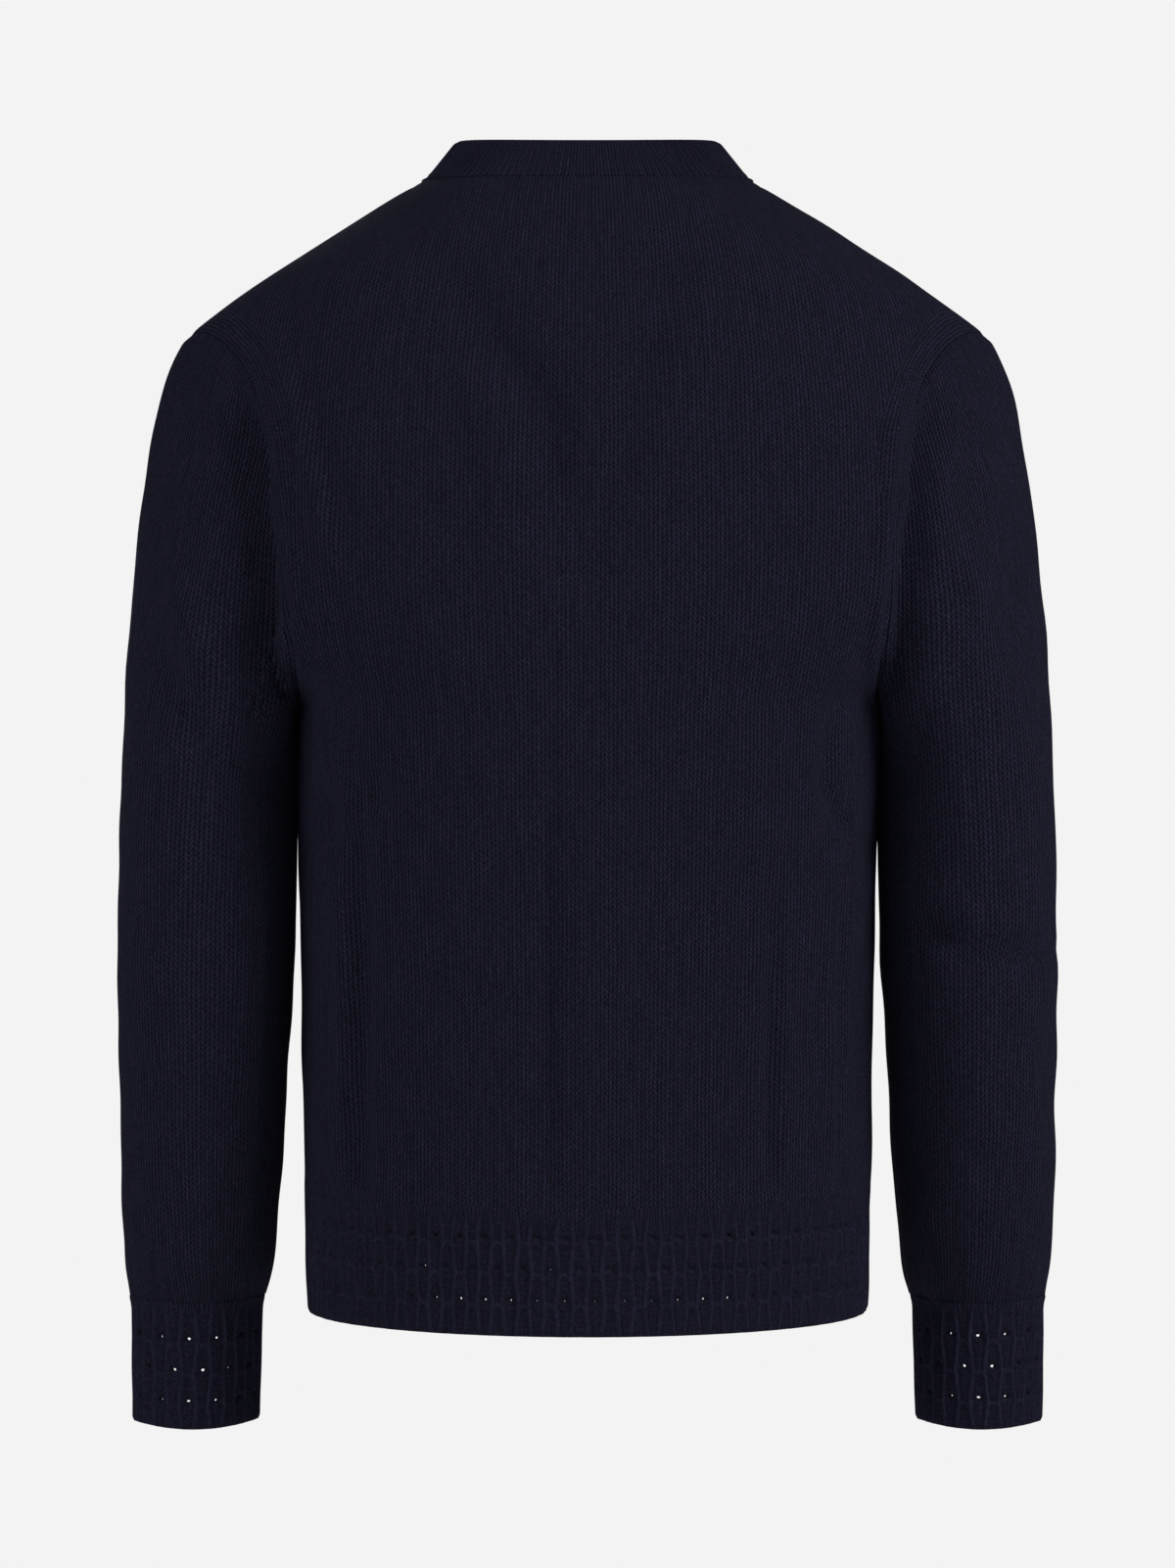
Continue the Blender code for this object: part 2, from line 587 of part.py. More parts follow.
def main():
    """Build every piece of the cardigan."""
    clear_scene()
    cardigan = bpy.data.collections.new("cardigan")
    bpy.context.scene.collection.children.link(cardigan)
    wool = principled("navy_stockinette", NAVY_WOOL, 0.9)
    rib = principled("navy_rib", NAVY_RIB, 0.9)
    horn = principled("dark_button", DARK_HORN, 0.35)

    back_half = half_panel(BACK_ROWS, panel_picks(), back_shares, top_edge(back_neckline, 0.0),
                           top_directions(BACK_NECK_LEAN, False))
    front_half = half_panel(FRONT_ROWS, panel_picks(), front_shares, top_edge(front_neckline, band_turn()),
                            top_directions(FRONT_NECK_LEAN, True))
    hem_back_half = half_panel(BACK_ROWS, hem_picks(), back_shares, None, None)
    hem_front_half = half_panel(FRONT_ROWS, hem_picks(), front_shares, None, None)
    sew_side(back_half, front_half, SIDE_STEPS + 1)
    sew_side(hem_back_half, hem_front_half, len(hem_back_half))

    sleeve = sleeve_grid(armhole_loop(back_half, front_half))
    cuff = cuff_grid(len(sleeve[0]))
    back_cut = inset(back_half, {"bottom": None, "top": shoulder_beyond(front_half),
                                 "last": edge_beyond(front_half, sleeve, False)})
    front_cut = inset(front_half, {"bottom": None, "top": shoulder_beyond(back_half), "first": None,
                                   "last": edge_beyond(back_half, sleeve, True)})
    hem_back_cut = inset(hem_back_half, {"top": None, "last": [line[-2] for line in hem_front_half]})
    hem_front_cut = inset(hem_front_half, {"top": None, "first": None,
                                           "last": [line[-2] for line in hem_back_half]})
    sleeve_cut = inset(sleeve, {"bottom": armhole_beyond(back_half, front_half), "top": None}, is_closed=True)
    cuff_cut = inset(cuff, {"bottom": None}, is_closed=True)

    cloth_object("back", whole_back(back_cut), False, True, wool, cardigan)
    cloth_object("hem_band_back", whole_back(hem_back_cut), False, True, rib, cardigan)
    bands = {}
    for side, word in ((1, "left"), (-1, "right")):
        is_right = side < 0
        cloth_object(f"front_{word}", one_front(front_cut, side), False, is_right, wool, cardigan)
        cloth_object(f"hem_band_front_{word}", one_front(hem_front_cut, side), False, is_right, rib, cardigan)
        cloth_object(f"sleeve_{word}", on_side(sleeve_cut, side), True, not is_right, wool, cardigan)
        cloth_object(f"cuff_{word}", on_side(cuff_cut, side), True, not is_right, rib, cardigan)
        bands[side] = opening_band_grid(front_half, hem_front_half, side)
    cloth_object("buttonhole_band", inset(bands[1], {"top": None, "first": None}), False, True, rib, cardigan)
    cloth_object("button_band", inset(bands[-1], {"top": None, "first": None}), False, False, rib, cardigan)
    neckband = neckband_grid()
    cloth_object("neckband", inset(neckband, {"bottom": None}), False, False, rib, cardigan)

    profile = front_profile(bands[1]) + [line[1] for line in neckband[1:]]
    lowest = profile[0].z + LOWEST_BUTTON_RISE
    highest = (neckband[0][1].z + neckband[2][1].z) / 2
    shared = button_mesh(horn)
    for index in range(BUTTON_COUNT):
        level = lowest + (highest - lowest) * index / (BUTTON_COUNT - 1)
        point, tilt = profile_frame(profile, level)
        button = bpy.data.objects.new(f"button_{BUTTON_COUNT - index}", shared)
        cardigan.objects.link(button)
        facing = Matrix.Rotation(math.radians(90) - tilt, 4, "X")
        out = facing @ Vector((0.0, 0.0, BUTTON_STANDOFF))
        button.matrix_world = Matrix.Translation(point + out) @ facing


main()
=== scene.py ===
"""Looks of a filled-out knitted cardigan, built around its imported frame.

Each cloth piece is a thin knitted shell on the form of its frame node. It starts as a bmesh grid whose
points are moved onto the garment's form, with ribs, open work and soft creases modelled, and a UV map that
counts the knitting in metres, across the wales and along the courses. Metres, +Z up; the wearer faces -Y and
+X is the wearer's left.
"""
import logging
import math
from dataclasses import dataclass, field
from enum import Enum
from typing import NamedTuple, Sequence

import bmesh
import bpy
import numpy as np
from bmesh.types import BMesh
from bpy.types import Material, Node, NodeSocket, NodeTree, Object
from mathutils import Matrix, Vector


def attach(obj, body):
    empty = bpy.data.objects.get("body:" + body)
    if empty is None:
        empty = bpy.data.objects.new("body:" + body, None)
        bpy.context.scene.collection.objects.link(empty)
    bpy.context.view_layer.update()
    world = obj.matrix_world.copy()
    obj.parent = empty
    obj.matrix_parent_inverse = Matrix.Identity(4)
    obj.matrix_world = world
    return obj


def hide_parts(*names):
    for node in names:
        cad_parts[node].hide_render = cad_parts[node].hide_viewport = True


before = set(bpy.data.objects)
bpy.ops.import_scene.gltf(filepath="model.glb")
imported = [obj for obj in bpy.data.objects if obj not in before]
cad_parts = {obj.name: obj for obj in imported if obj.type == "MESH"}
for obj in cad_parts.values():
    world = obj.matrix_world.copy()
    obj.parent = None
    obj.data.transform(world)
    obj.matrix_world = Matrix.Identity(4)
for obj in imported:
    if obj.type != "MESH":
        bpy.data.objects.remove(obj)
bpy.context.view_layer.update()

logging.basicConfig(level=logging.INFO, format="%(name)s: %(message)s")
log = logging.getLogger("cardigan")

Array = np.ndarray
Grid = np.ndarray  # rows x columns x 3, in metres; rows run upwards
WALL = 0.0025  # thickness of the knitted cloth
BODY = "root"
WALE = 0.0045  # width of a stitch
COURSE = 0.00275  # height of a stitch
FACE_BLEND = 0.004  # over what Y a crease fades towards the other face of the garment
CREASE_ENDS = (0.02, 0.98)  # shares of a crease's line between which its depth rises and falls
CREASE_ROUND = 0.6  # how fast it does: the lower, the faster
TUCK_DEPTHS = (0.034, 0.069)  # Y at which a sleeve's tuck begins, and is whole
TUCK_DROPS = (0.105, 0.150)  # how far below the neck point it begins, and is whole
MERGE = 0.00001  # points nearer to each other than this are made one


class Slot(Enum):
    """Material slots of the record."""
    STOCKINETTE = "stockinette"
    RIB = "rib"
    BUTTON = "button"


class Side(Enum):
    """Sides of the wearer, by the sign of X."""
    LEFT = 1
    RIGHT = -1

    @property
    def word(self) -> str:
        """Return the side as a word for names."""
        return self.name.lower()


class Face(Enum):
    """The side of the torso or arm that a crease lies on, by the sign of Y."""
    BACK = 1
    FRONT = -1


class Edge(Enum):
    """Edges of a grid: its first and last columns, its bottom and top rows."""
    FIRST = "first"
    LAST = "last"
    BOTTOM = "bottom"
    TOP = "top"


# ----------------------------------------------------------------------
# Form of the garment


class PanelRow(NamedTuple):
    """A level section of a panel, from its centre line to its side seam or armhole edge, in metres.

    square is the power of the section's curve, 2 for an ellipse, and bow that with which its level changes.
    """
    name: str
    centre_z: float
    centre_y: float
    edge_x: float
    edge_y: float
    edge_z: float
    square: float
    bow: float


class SleeveRing(NamedTuple):
    """A ring of a left sleeve or cuff. turn is in degrees, and skew the share of the cuff's slant it has."""
    name: str
    level: float
    centre_x: float
    centre_y: float
    half_width: float
    half_depth: float
    turn: float
    skew: float


HEM_LEVEL = -0.6435
BAND_SEAM_LEVEL = -0.5740
HEM_MIDDLE = (HEM_LEVEL + BAND_SEAM_LEVEL) / 2
FRONT_RISE = 0.0220  # how much higher the hem hangs at the centre front
CUFF_SEAM_LEVEL = -0.6380
CUFF_EDGE_LEVEL = -0.7100

BACK_ROWS = (
    PanelRow("hem edge", HEM_LEVEL, 0.1165, 0.1604, 0.0000, HEM_LEVEL, 2.00, 3.0),
    PanelRow("hem middle", HEM_MIDDLE, 0.1155, 0.1611, 0.0000, HEM_MIDDLE, 2.00, 3.0),
    PanelRow("band seam", BAND_SEAM_LEVEL, 0.1140, 0.1617, 0.0000, BAND_SEAM_LEVEL, 2.02, 3.0),
    PanelRow("waist", -0.4700, 0.1135, 0.1634, 0.0000, -0.4700, 2.08, 3.0),
    PanelRow("ribs", -0.3880, 0.1155, 0.1647, 0.0000, -0.3880, 2.15, 3.0),
    PanelRow("underarm", -0.3060, 0.1175, 0.1650, 0.0000, -0.3060, 2.20, 3.0),
    PanelRow("armhole foot", -0.2800, 0.1180, 0.1620, 0.0450, -0.2890, 2.25, 3.0),
    PanelRow("armhole turn", -0.2450, 0.1180, 0.1645, 0.0680, -0.2560, 2.30, 3.0),
    PanelRow("armhole middle", -0.2000, 0.1160, 0.1680, 0.0740, -0.2180, 2.30, 3.0),
    PanelRow("armhole upper", -0.1500, 0.1110, 0.1730, 0.0705, -0.1820, 2.25, 2.8),
    PanelRow("blades", -0.1000, 0.1010, 0.1765, 0.0640, -0.1520, 2.20, 2.6),
    PanelRow("yoke", -0.0550, 0.0860, 0.1840, 0.0525, -0.1280, 2.15, 2.4),
)
FRONT_ROWS = (
    PanelRow("hem edge", HEM_LEVEL + FRONT_RISE, -0.1150, 0.1604, 0.0000, HEM_LEVEL, 2.00, 4.0),
    PanelRow("hem middle", HEM_MIDDLE + FRONT_RISE, -0.1150, 0.1611, 0.0000, HEM_MIDDLE, 2.00, 4.0),
    PanelRow("band seam", BAND_SEAM_LEVEL + FRONT_RISE, -0.1150, 0.1617, 0.0000, BAND_SEAM_LEVEL, 2.02, 4.0),
    PanelRow("waist", -0.4650, -0.1170, 0.1634, 0.0000, -0.4700, 2.08, 3.0),
    PanelRow("ribs", -0.3860, -0.1220, 0.1647, 0.0000, -0.3880, 2.15, 3.0),
    PanelRow("underarm", -0.3060, -0.1250, 0.1650, 0.0000, -0.3060, 2.20, 3.0),
    PanelRow("armhole foot", -0.2830, -0.1255, 0.1605, -0.0450, -0.2880, 2.25, 3.0),
    PanelRow("armhole turn", -0.2540, -0.1250, 0.1620, -0.0680, -0.2560, 2.30, 3.0),
    PanelRow("armhole middle", -0.2200, -0.1230, 0.1640, -0.0750, -0.2180, 2.30, 3.0),
    PanelRow("armhole upper", -0.1860, -0.1190, 0.1690, -0.0720, -0.1800, 2.25, 3.0),
    PanelRow("chest", -0.1550, -0.1120, 0.1745, -0.0645, -0.1510, 2.20, 3.0),
    PanelRow("yoke", -0.1270, -0.1020, 0.1830, -0.0525, -0.1270, 2.15, 3.0),
)
BAND_SEAM_ROW = 2
UNDERARM_ROW = 5
EDGE_Y = PanelRow._fields.index("edge_y") - 1

SLEEVE_RINGS = (
    SleeveRing("upper arm", -0.3450, 0.2164, 0.000, 0.0499, 0.0620, 0.0, 0.00),
    SleeveRing("above elbow", -0.3880, 0.2169, 0.000, 0.0505, 0.0605, 0.0, 0.00),
    SleeveRing("elbow", -0.4525, 0.2182, -0.002, 0.0501, 0.0585, 1.0, 0.10),
    SleeveRing("forearm", -0.5085, 0.2198, -0.005, 0.0482, 0.0550, 2.5, 0.30),
    SleeveRing("lower forearm", -0.5645, 0.2216, -0.008, 0.0462, 0.0500, 4.0, 0.60),
    SleeveRing("wrist fullness", -0.5925, 0.2224, -0.010, 0.0445, 0.0460, 5.0, 0.80),
    SleeveRing("gather", -0.6205, 0.2233, -0.011, 0.0421, 0.0395, 6.0, 0.95),
    SleeveRing("cuff seam", CUFF_SEAM_LEVEL, 0.2240, -0.011, 0.0388, 0.0310, 6.0, 1.00),
)
CUFF_RINGS = (
    SleeveRing("cuff seam", CUFF_SEAM_LEVEL, 0.2242, -0.011, 0.0381, 0.0307, 6.0, 1.00),
    SleeveRing("cuff middle", -0.6730, 0.2246, -0.011, 0.0376, 0.0300, 6.0, 1.00),
    SleeveRing("cuff edge", CUFF_EDGE_LEVEL, 0.2249, -0.011, 0.0368, 0.0295, 6.0, 1.00),
)


def hermite(start: Array, start_pull: Array, end: Array, end_pull: Array, share: float) -> Array:
    """Blend two ends and their pulls with a cubic.

    Args:
        start: Values or points at share 0.
        start_pull: Their slope there.
        end: Values or points at share 1.
        end_pull: Their slope there.
        share: Where to read the curve.

    Returns:
        The values or points at the share.
    """
    square, cube = share * share, share ** 3
    return (start * (2 * cube - 3 * square + 1) + start_pull * (cube - 2 * square + share)
            + end * (3 * square - 2 * cube) + end_pull * (cube - square))


def smooth_table(rows: Sequence[tuple], picks: Sequence[float]) -> list[Array]:
    """Read a table's number columns at fractional row indexes, on one smooth curve through its rows.

    Args:
        rows: Named rows, whose first column is a name.
        picks: Fractional row indexes.

    Returns:
        One array of numbers for each pick.
    """
    values = np.array([row[1:] for row in rows], dtype=float)
    run = np.linalg.norm(np.diff(values[:, :5], axis=0), axis=1)
    at = np.concatenate([[0.0], np.cumsum(run)])
    slopes = np.gradient(values, at, axis=0)
    result = []
    for pick in picks:
        first = min(int(pick), len(rows) - 2)
        span = at[first + 1] - at[first]
        result.append(hermite(values[first], slopes[first] * span, values[first + 1],
                              slopes[first + 1] * span, pick - first))
    return result


def unit(vectors: Array) -> Array:
    """Return vectors of unit length, along the last axis."""
    return vectors / np.maximum(np.linalg.norm(vectors, axis=-1, keepdims=True), 1e-12)


def ease(values: Array | float, low: float, high: float) -> Array:
    """Rise smoothly from 0 at the low value to 1 at the high one."""
    share = np.clip((np.asarray(values, dtype=float) - low) / (high - low), 0.0, 1.0)
    return share * share * (3 - 2 * share)


def hump(distances: Array, half_width: float) -> Array:
    """Return a soft hump of height 1 over distance 0."""
    return np.exp(-(distances / half_width) ** 2)


def running(steps: Array, axis: int) -> Array:
    """Add steps up along an axis, from 0."""
    shape = list(steps.shape)
    shape[axis] = 1
    return np.concatenate([np.zeros(shape), np.cumsum(steps, axis=axis)], axis=axis)


def lengths_along(points: Array, axis: int = 0) -> Array:
    """Return the length from the first point to each other one, along an axis of a line or grid."""
    return running(np.linalg.norm(np.diff(points, axis=axis), axis=-1), axis)


def read_line(places: Array, run: Array, line: Array) -> Array:
    """Read a line's points at places along it.

    Args:
        places: Where to read it.
        run: The place of each of its points, growing.
        line: The points, or the directions at them.

    Returns:
        One point or direction for each place.
    """
    return np.stack([np.interp(places, run, line[:, axis]) for axis in range(3)], axis=-1)


def section(row: Array, shares: Array) -> Array:
    """Return the points of a panel's section.

    Args:
        row: Numbers of a PanelRow, without its name.
        shares: Shares of the section's turn, from the centre line (0) to its edge (1).

    Returns:
        One point for each share.
    """
    centre_z, centre_y, edge_x, edge_y, edge_z, square, bow = row
    edge_share = min(abs(edge_y) / abs(centre_y), 1.0)
    half_width = edge_x / (1.0 - edge_share ** square) ** (1.0 / square)
    turn = math.acos(edge_share ** (square / 2)) * shares
    x = half_width * np.sin(turn) ** (2 / square)
    y = abs(centre_y) * np.clip(np.cos(turn), 0.0, None) ** (2 / square)
    z = centre_z + (edge_z - centre_z) * np.minimum(x / edge_x, 1.0) ** bow
    return np.stack([x, np.copysign(y, centre_y), z], axis=1)


def share_at_width(row: Array, width: float) -> float:
    """Return the share of a section's turn at which it is a given width from the centre line."""
    _, centre_y, edge_x, edge_y, _, square, _ = row
    edge_share = min(abs(edge_y) / abs(centre_y), 1.0)
    half_width = edge_x / (1.0 - edge_share ** square) ** (1.0 / square)
    full_turn = math.acos(edge_share ** (square / 2))
    return math.asin((width / half_width) ** (square / 2)) / full_turn


@dataclass(frozen=True)
class Neck:
    """Edges of the neckline and of the neckband above it."""
    half_width: float = 0.0940
    back_depth: float = 0.0580
    back_drop: float = 0.0050
    front_depth: float = 0.0800
    front_drop: float = 0.0850
    top_half_width: float = 0.0750
    top_back_depth: float = 0.0400
    top_front_depth: float = 0.0670
    top_side_level: float = 0.0240
    top_back_level: float = 0.0190
    top_front_level: float = -0.0580
    curve: float = 1.6

    def line(self, turns: Array, is_front: bool) -> Array:
        """Return points of the neckline, from the centre (0) to the shoulder seam (a quarter turn)."""
        depth = -self.front_depth if is_front else self.back_depth
        if is_front:
            drop = self.front_drop * np.cos(turns) ** self.curve
        else:
            drop = self.back_drop * np.cos(turns) ** 2
        return np.stack([self.half_width * np.sin(turns), depth * np.cos(turns), -drop], axis=1)

    def top(self, turns: Array, is_front: bool) -> Array:
        """Return points of the neckband's upper edge above the same turns of the neckline."""
        depth = -self.top_front_depth if is_front else self.top_back_depth
        centre = self.top_front_level if is_front else self.top_back_level
        level = self.top_side_level - (self.top_side_level - centre) * np.cos(turns) ** self.curve
        return np.stack([self.top_half_width * np.sin(turns), depth * np.cos(turns), level], axis=1)


@dataclass(frozen=True)
class Opening:
    """The front opening: two bands of one width, the left one on top of the right one."""
    half_width: float = 0.0150
    step: float = 0.0017
    reach: float = 0.0450

    def stand_out(self, x: Array, side: Side) -> Array:
        """Return how far in Y a front is moved near the opening, so that its band laps the other one."""
        away = np.maximum(x - self.half_width, 0.0) / self.reach
        return -side.value * self.step * np.exp(-away * away)


@dataclass(frozen=True)
class Torso:
    """The form that the panels share, and how finely it is read."""
    neck: Neck = Neck()
    opening: Opening = Opening()
    shoulder_half_width: float = 0.2290
    shoulder_drop: float = 0.0880
    shoulder_crown: float = 0.0032
    neck_share: float = 0.42
    corner_turn: float = math.radians(45)
    outer_turn: float = math.radians(40)
    back_lean: tuple[float, float, float] = (0.0, -0.60, 0.80)
    front_lean: tuple[float, float, float] = (0.0, -0.43, 0.90)
    under_yoke: float = 0.02
    neck_columns: int = 30
    shoulder_columns: int = 44
    side_rows: int = 66
    armhole_rows: int = 58
    cap_rows: int = 22
    crowding: float = 1.4  # power that draws rows and columns together towards a seam

    def towards_edge(self) -> Array:
        """Return the shares of the shoulder columns, closer together towards the outer edge."""
        return 1.0 - (1.0 - np.linspace(0.0, 1.0, self.shoulder_columns + 1)) ** self.crowding

    def shoulder_seam(self, shares: Array) -> Array:
        """Return points of the shoulder seam, from the neck (0) to the sleeve (1)."""
        x = self.neck.half_width + (self.shoulder_half_width - self.neck.half_width) * shares
        arch = self.shoulder_crown * np.clip(np.sin(math.pi * shares), 0.0, None) ** 0.6
        return np.stack([x, np.zeros_like(x), arch - self.shoulder_drop * shares], axis=1)

    def shares(self, start: float) -> Array:
        """Return the shares of a half panel's turn: its neck columns, then its shoulder columns."""
        neck = start + (self.neck_share - start) * np.arange(self.neck_columns) / self.neck_columns
        return np.concatenate([neck, self.neck_share + (1.0 - self.neck_share) * self.towards_edge()])

    def lines(self, picks: Sequence[float], is_front: bool) -> list[Array]:
        """Return a half panel's sections at fractional row indexes of its table."""
        rows = FRONT_ROWS if is_front else BACK_ROWS
        result = []
        for pick, row in zip(picks, smooth_table(rows, picks)):
            if pick <= UNDERARM_ROW:
                row[EDGE_Y] = 0.0
            start = share_at_width(row, self.opening.half_width) if is_front else 0.0
            result.append(section(row, self.shares(start)))
        return result

    def top_edge(self, is_front: bool) -> Array:
        """Return the points of a half panel's upper edge: its neckline, then its shoulder seam."""
        start = math.asin(self.opening.half_width / self.neck.half_width) if is_front else 0.0
        turns = start + (math.pi / 2 - start) * np.arange(self.neck_columns) / self.neck_columns
        return np.concatenate([self.neck.line(turns, is_front), self.shoulder_seam(self.towards_edge())])

    def top_ways(self, is_front: bool) -> Array:
        """Return the directions in which a half panel's columns reach its upper edge."""
        ends = self.shoulder_seam(np.array([0.0, 1.0]))
        seam = unit(ends[0] - ends[1])
        across = np.array([0.0, -1.0, 0.0])
        corner = across * math.cos(self.corner_turn) + seam * math.sin(self.corner_turn)
        lean = np.array(self.front_lean if is_front else self.back_lean)
        shares = np.arange(self.neck_columns)[:, None] / self.neck_columns
        neck = unit(lean + (corner - lean) * shares)
        along = self.towards_edge()[:, None]
        turns = self.corner_turn * (1.0 - along) ** 2 - self.outer_turn * along ** 4
        ways = np.concatenate([neck, across * np.cos(turns) + seam * np.sin(turns)])
        return ways * (1.0, -1.0, 1.0) if is_front else ways

    def half(self, is_front: bool) -> Grid:
        """Return half a panel from the hem band's seam to its upper edge, as rows that run outwards."""
        rise = (np.arange(self.side_rows) / self.side_rows) ** self.crowding
        side = BAND_SEAM_ROW + (UNDERARM_ROW - BAND_SEAM_ROW) * rise
        arm = np.linspace(UNDERARM_ROW, len(BACK_ROWS) - 1, self.armhole_rows + 1)
        picks = [*side, *arm]
        grid = self.lines(picks, is_front)
        last = grid[-1]
        under = self.lines([picks[-1] - self.under_yoke], is_front)[0]
        top = self.top_edge(is_front)
        span = np.linalg.norm(top - last, axis=1, keepdims=True)
        pull = unit(last - under) * span
        ways = self.top_ways(is_front) * span
        for step in range(1, self.cap_rows + 1):
            share = 1.0 - (1.0 - step / self.cap_rows) ** self.crowding
            grid.append(hermite(last, pull, top, ways, share))
        return np.array(grid)


@dataclass(frozen=True)
class Arm:
    """The form of a left sleeve and its cuff."""
    head_rows: int = 40
    arm_rows: int = 74
    start_pull: float = 0.50
    end_pull: float = 0.50
    leaves_top: tuple[float, float, float] = (0.64, 0.0, -0.77)
    leaves_side: tuple[float, float, float] = (0.66, 0.16, -0.74)
    leaves_foot: tuple[float, float, float] = (0.45, 0.0, -1.0)
    slant: float = 0.00425
    side_lift: float = 0.00550
    crowding: float = 1.4

    def ring(self, numbers: Array, turns: Array) -> Array:
        """Return points of a ring.

        Args:
            numbers: Numbers of a SleeveRing, without its name.
            turns: Turns in radians: 0 is the outer side, a quarter the back, a half the inner side.

        Returns:
            One point for each turn.
        """
        level, centre_x, centre_y, half_width, half_depth, twist, skew = numbers
        across, deep = half_width * np.cos(turns), half_depth * np.sin(turns)
        angle = math.radians(twist)
        x = centre_x + across * math.cos(angle) - deep * math.sin(angle)
        y = centre_y + across * math.sin(angle) + deep * math.cos(angle)
        slant = self.slant * (np.sin(turns) - 1.0) + self.side_lift * np.cos(turns) ** 2
        return np.stack([x, y, level + skew * slant], axis=1)

    def leaving(self, share: float) -> Array:
        """Return the direction in which the sleeve leaves the armhole, from its top (0) to its foot (1)."""
        top, side, foot = (np.array(way) for way in (self.leaves_top, self.leaves_side, self.leaves_foot))
        if share < 0.5:
            return unit(top + (side - top) * share * 2)
        return unit(side + (foot - side) * (share * 2 - 1) ** 1.3)

    def sleeve(self, loop: Array) -> Grid:
        """Return a left sleeve, from the cuff seam up to the armhole, with its seam on the inner side.

        Args:
            loop: The armhole's points, from the shoulder down the back and up the front.
        """
        columns = len(loop)
        turns = 2 * math.pi * np.arange(columns + 1) / columns
        fall = 1.0 - (1.0 - np.arange(self.arm_rows + 1) / self.arm_rows) ** self.crowding
        rings = smooth_table(SLEEVE_RINGS, (len(SLEEVE_RINGS) - 1) * fall)
        arm = [self.ring(numbers, turns) for numbers in rings]
        shares = 1.0 - np.abs(2.0 * np.arange(columns + 1) / columns - 1.0)
        ways = np.array([self.leaving(share) for share in shares])
        ways[columns // 2 + 1:, 1] *= -1.0
        start = np.concatenate([loop, loop[:1]])
        span = np.linalg.norm(arm[0] - start, axis=1, keepdims=True)
        down = np.array([0.0, 0.0, -1.0]) * span * self.end_pull
        leave = ways * span * self.start_pull
        head = [hermite(start, leave, arm[0], down, (step / self.head_rows) ** self.crowding)
                for step in range(self.head_rows)]
        whole = np.array(head + arm)[::-1]
        return whole[:, (np.arange(columns + 1) + columns // 2) % columns]


TORSO = Torso()
ARM = Arm()


# ----------------------------------------------------------------------
# Finishes


def linear(code: str) -> tuple[float, float, float, float]:
    """Turn an sRGB hex colour to linear light, with full alpha."""
    parts = (int(code[start:start + 2], 16) / 255 for start in (1, 3, 5))
    return (*(p / 12.92 if p <= 0.04045 else ((p + 0.055) / 1.055) ** 2.4 for p in parts), 1.0)


def add_node(tree: NodeTree, kind: str, inputs: dict | None = None, **settings: object) -> Node:
    """Add a node with its settings and links.

    Args:
        tree: The material's or world's nodes.
        kind: Type of the node.
        inputs: A value, or another node's output, for each input that is set.
        settings: Attributes of the node.

    Returns:
        The node.
    """
    made = tree.nodes.new(kind)
    for name, value in settings.items():
        setattr(made, name, value)
    for name, value in (inputs or {}).items():
        if isinstance(value, NodeSocket):
            tree.links.new(value, made.inputs[name])
        else:
            made.inputs[name].default_value = value
    return made


def new_material(name: str) -> tuple[Material, NodeTree]:
    """Return a new material and its empty node tree."""
    material = bpy.data.materials.new(name)
    material.use_nodes = True
    material.node_tree.nodes.clear()
    return material, material.node_tree


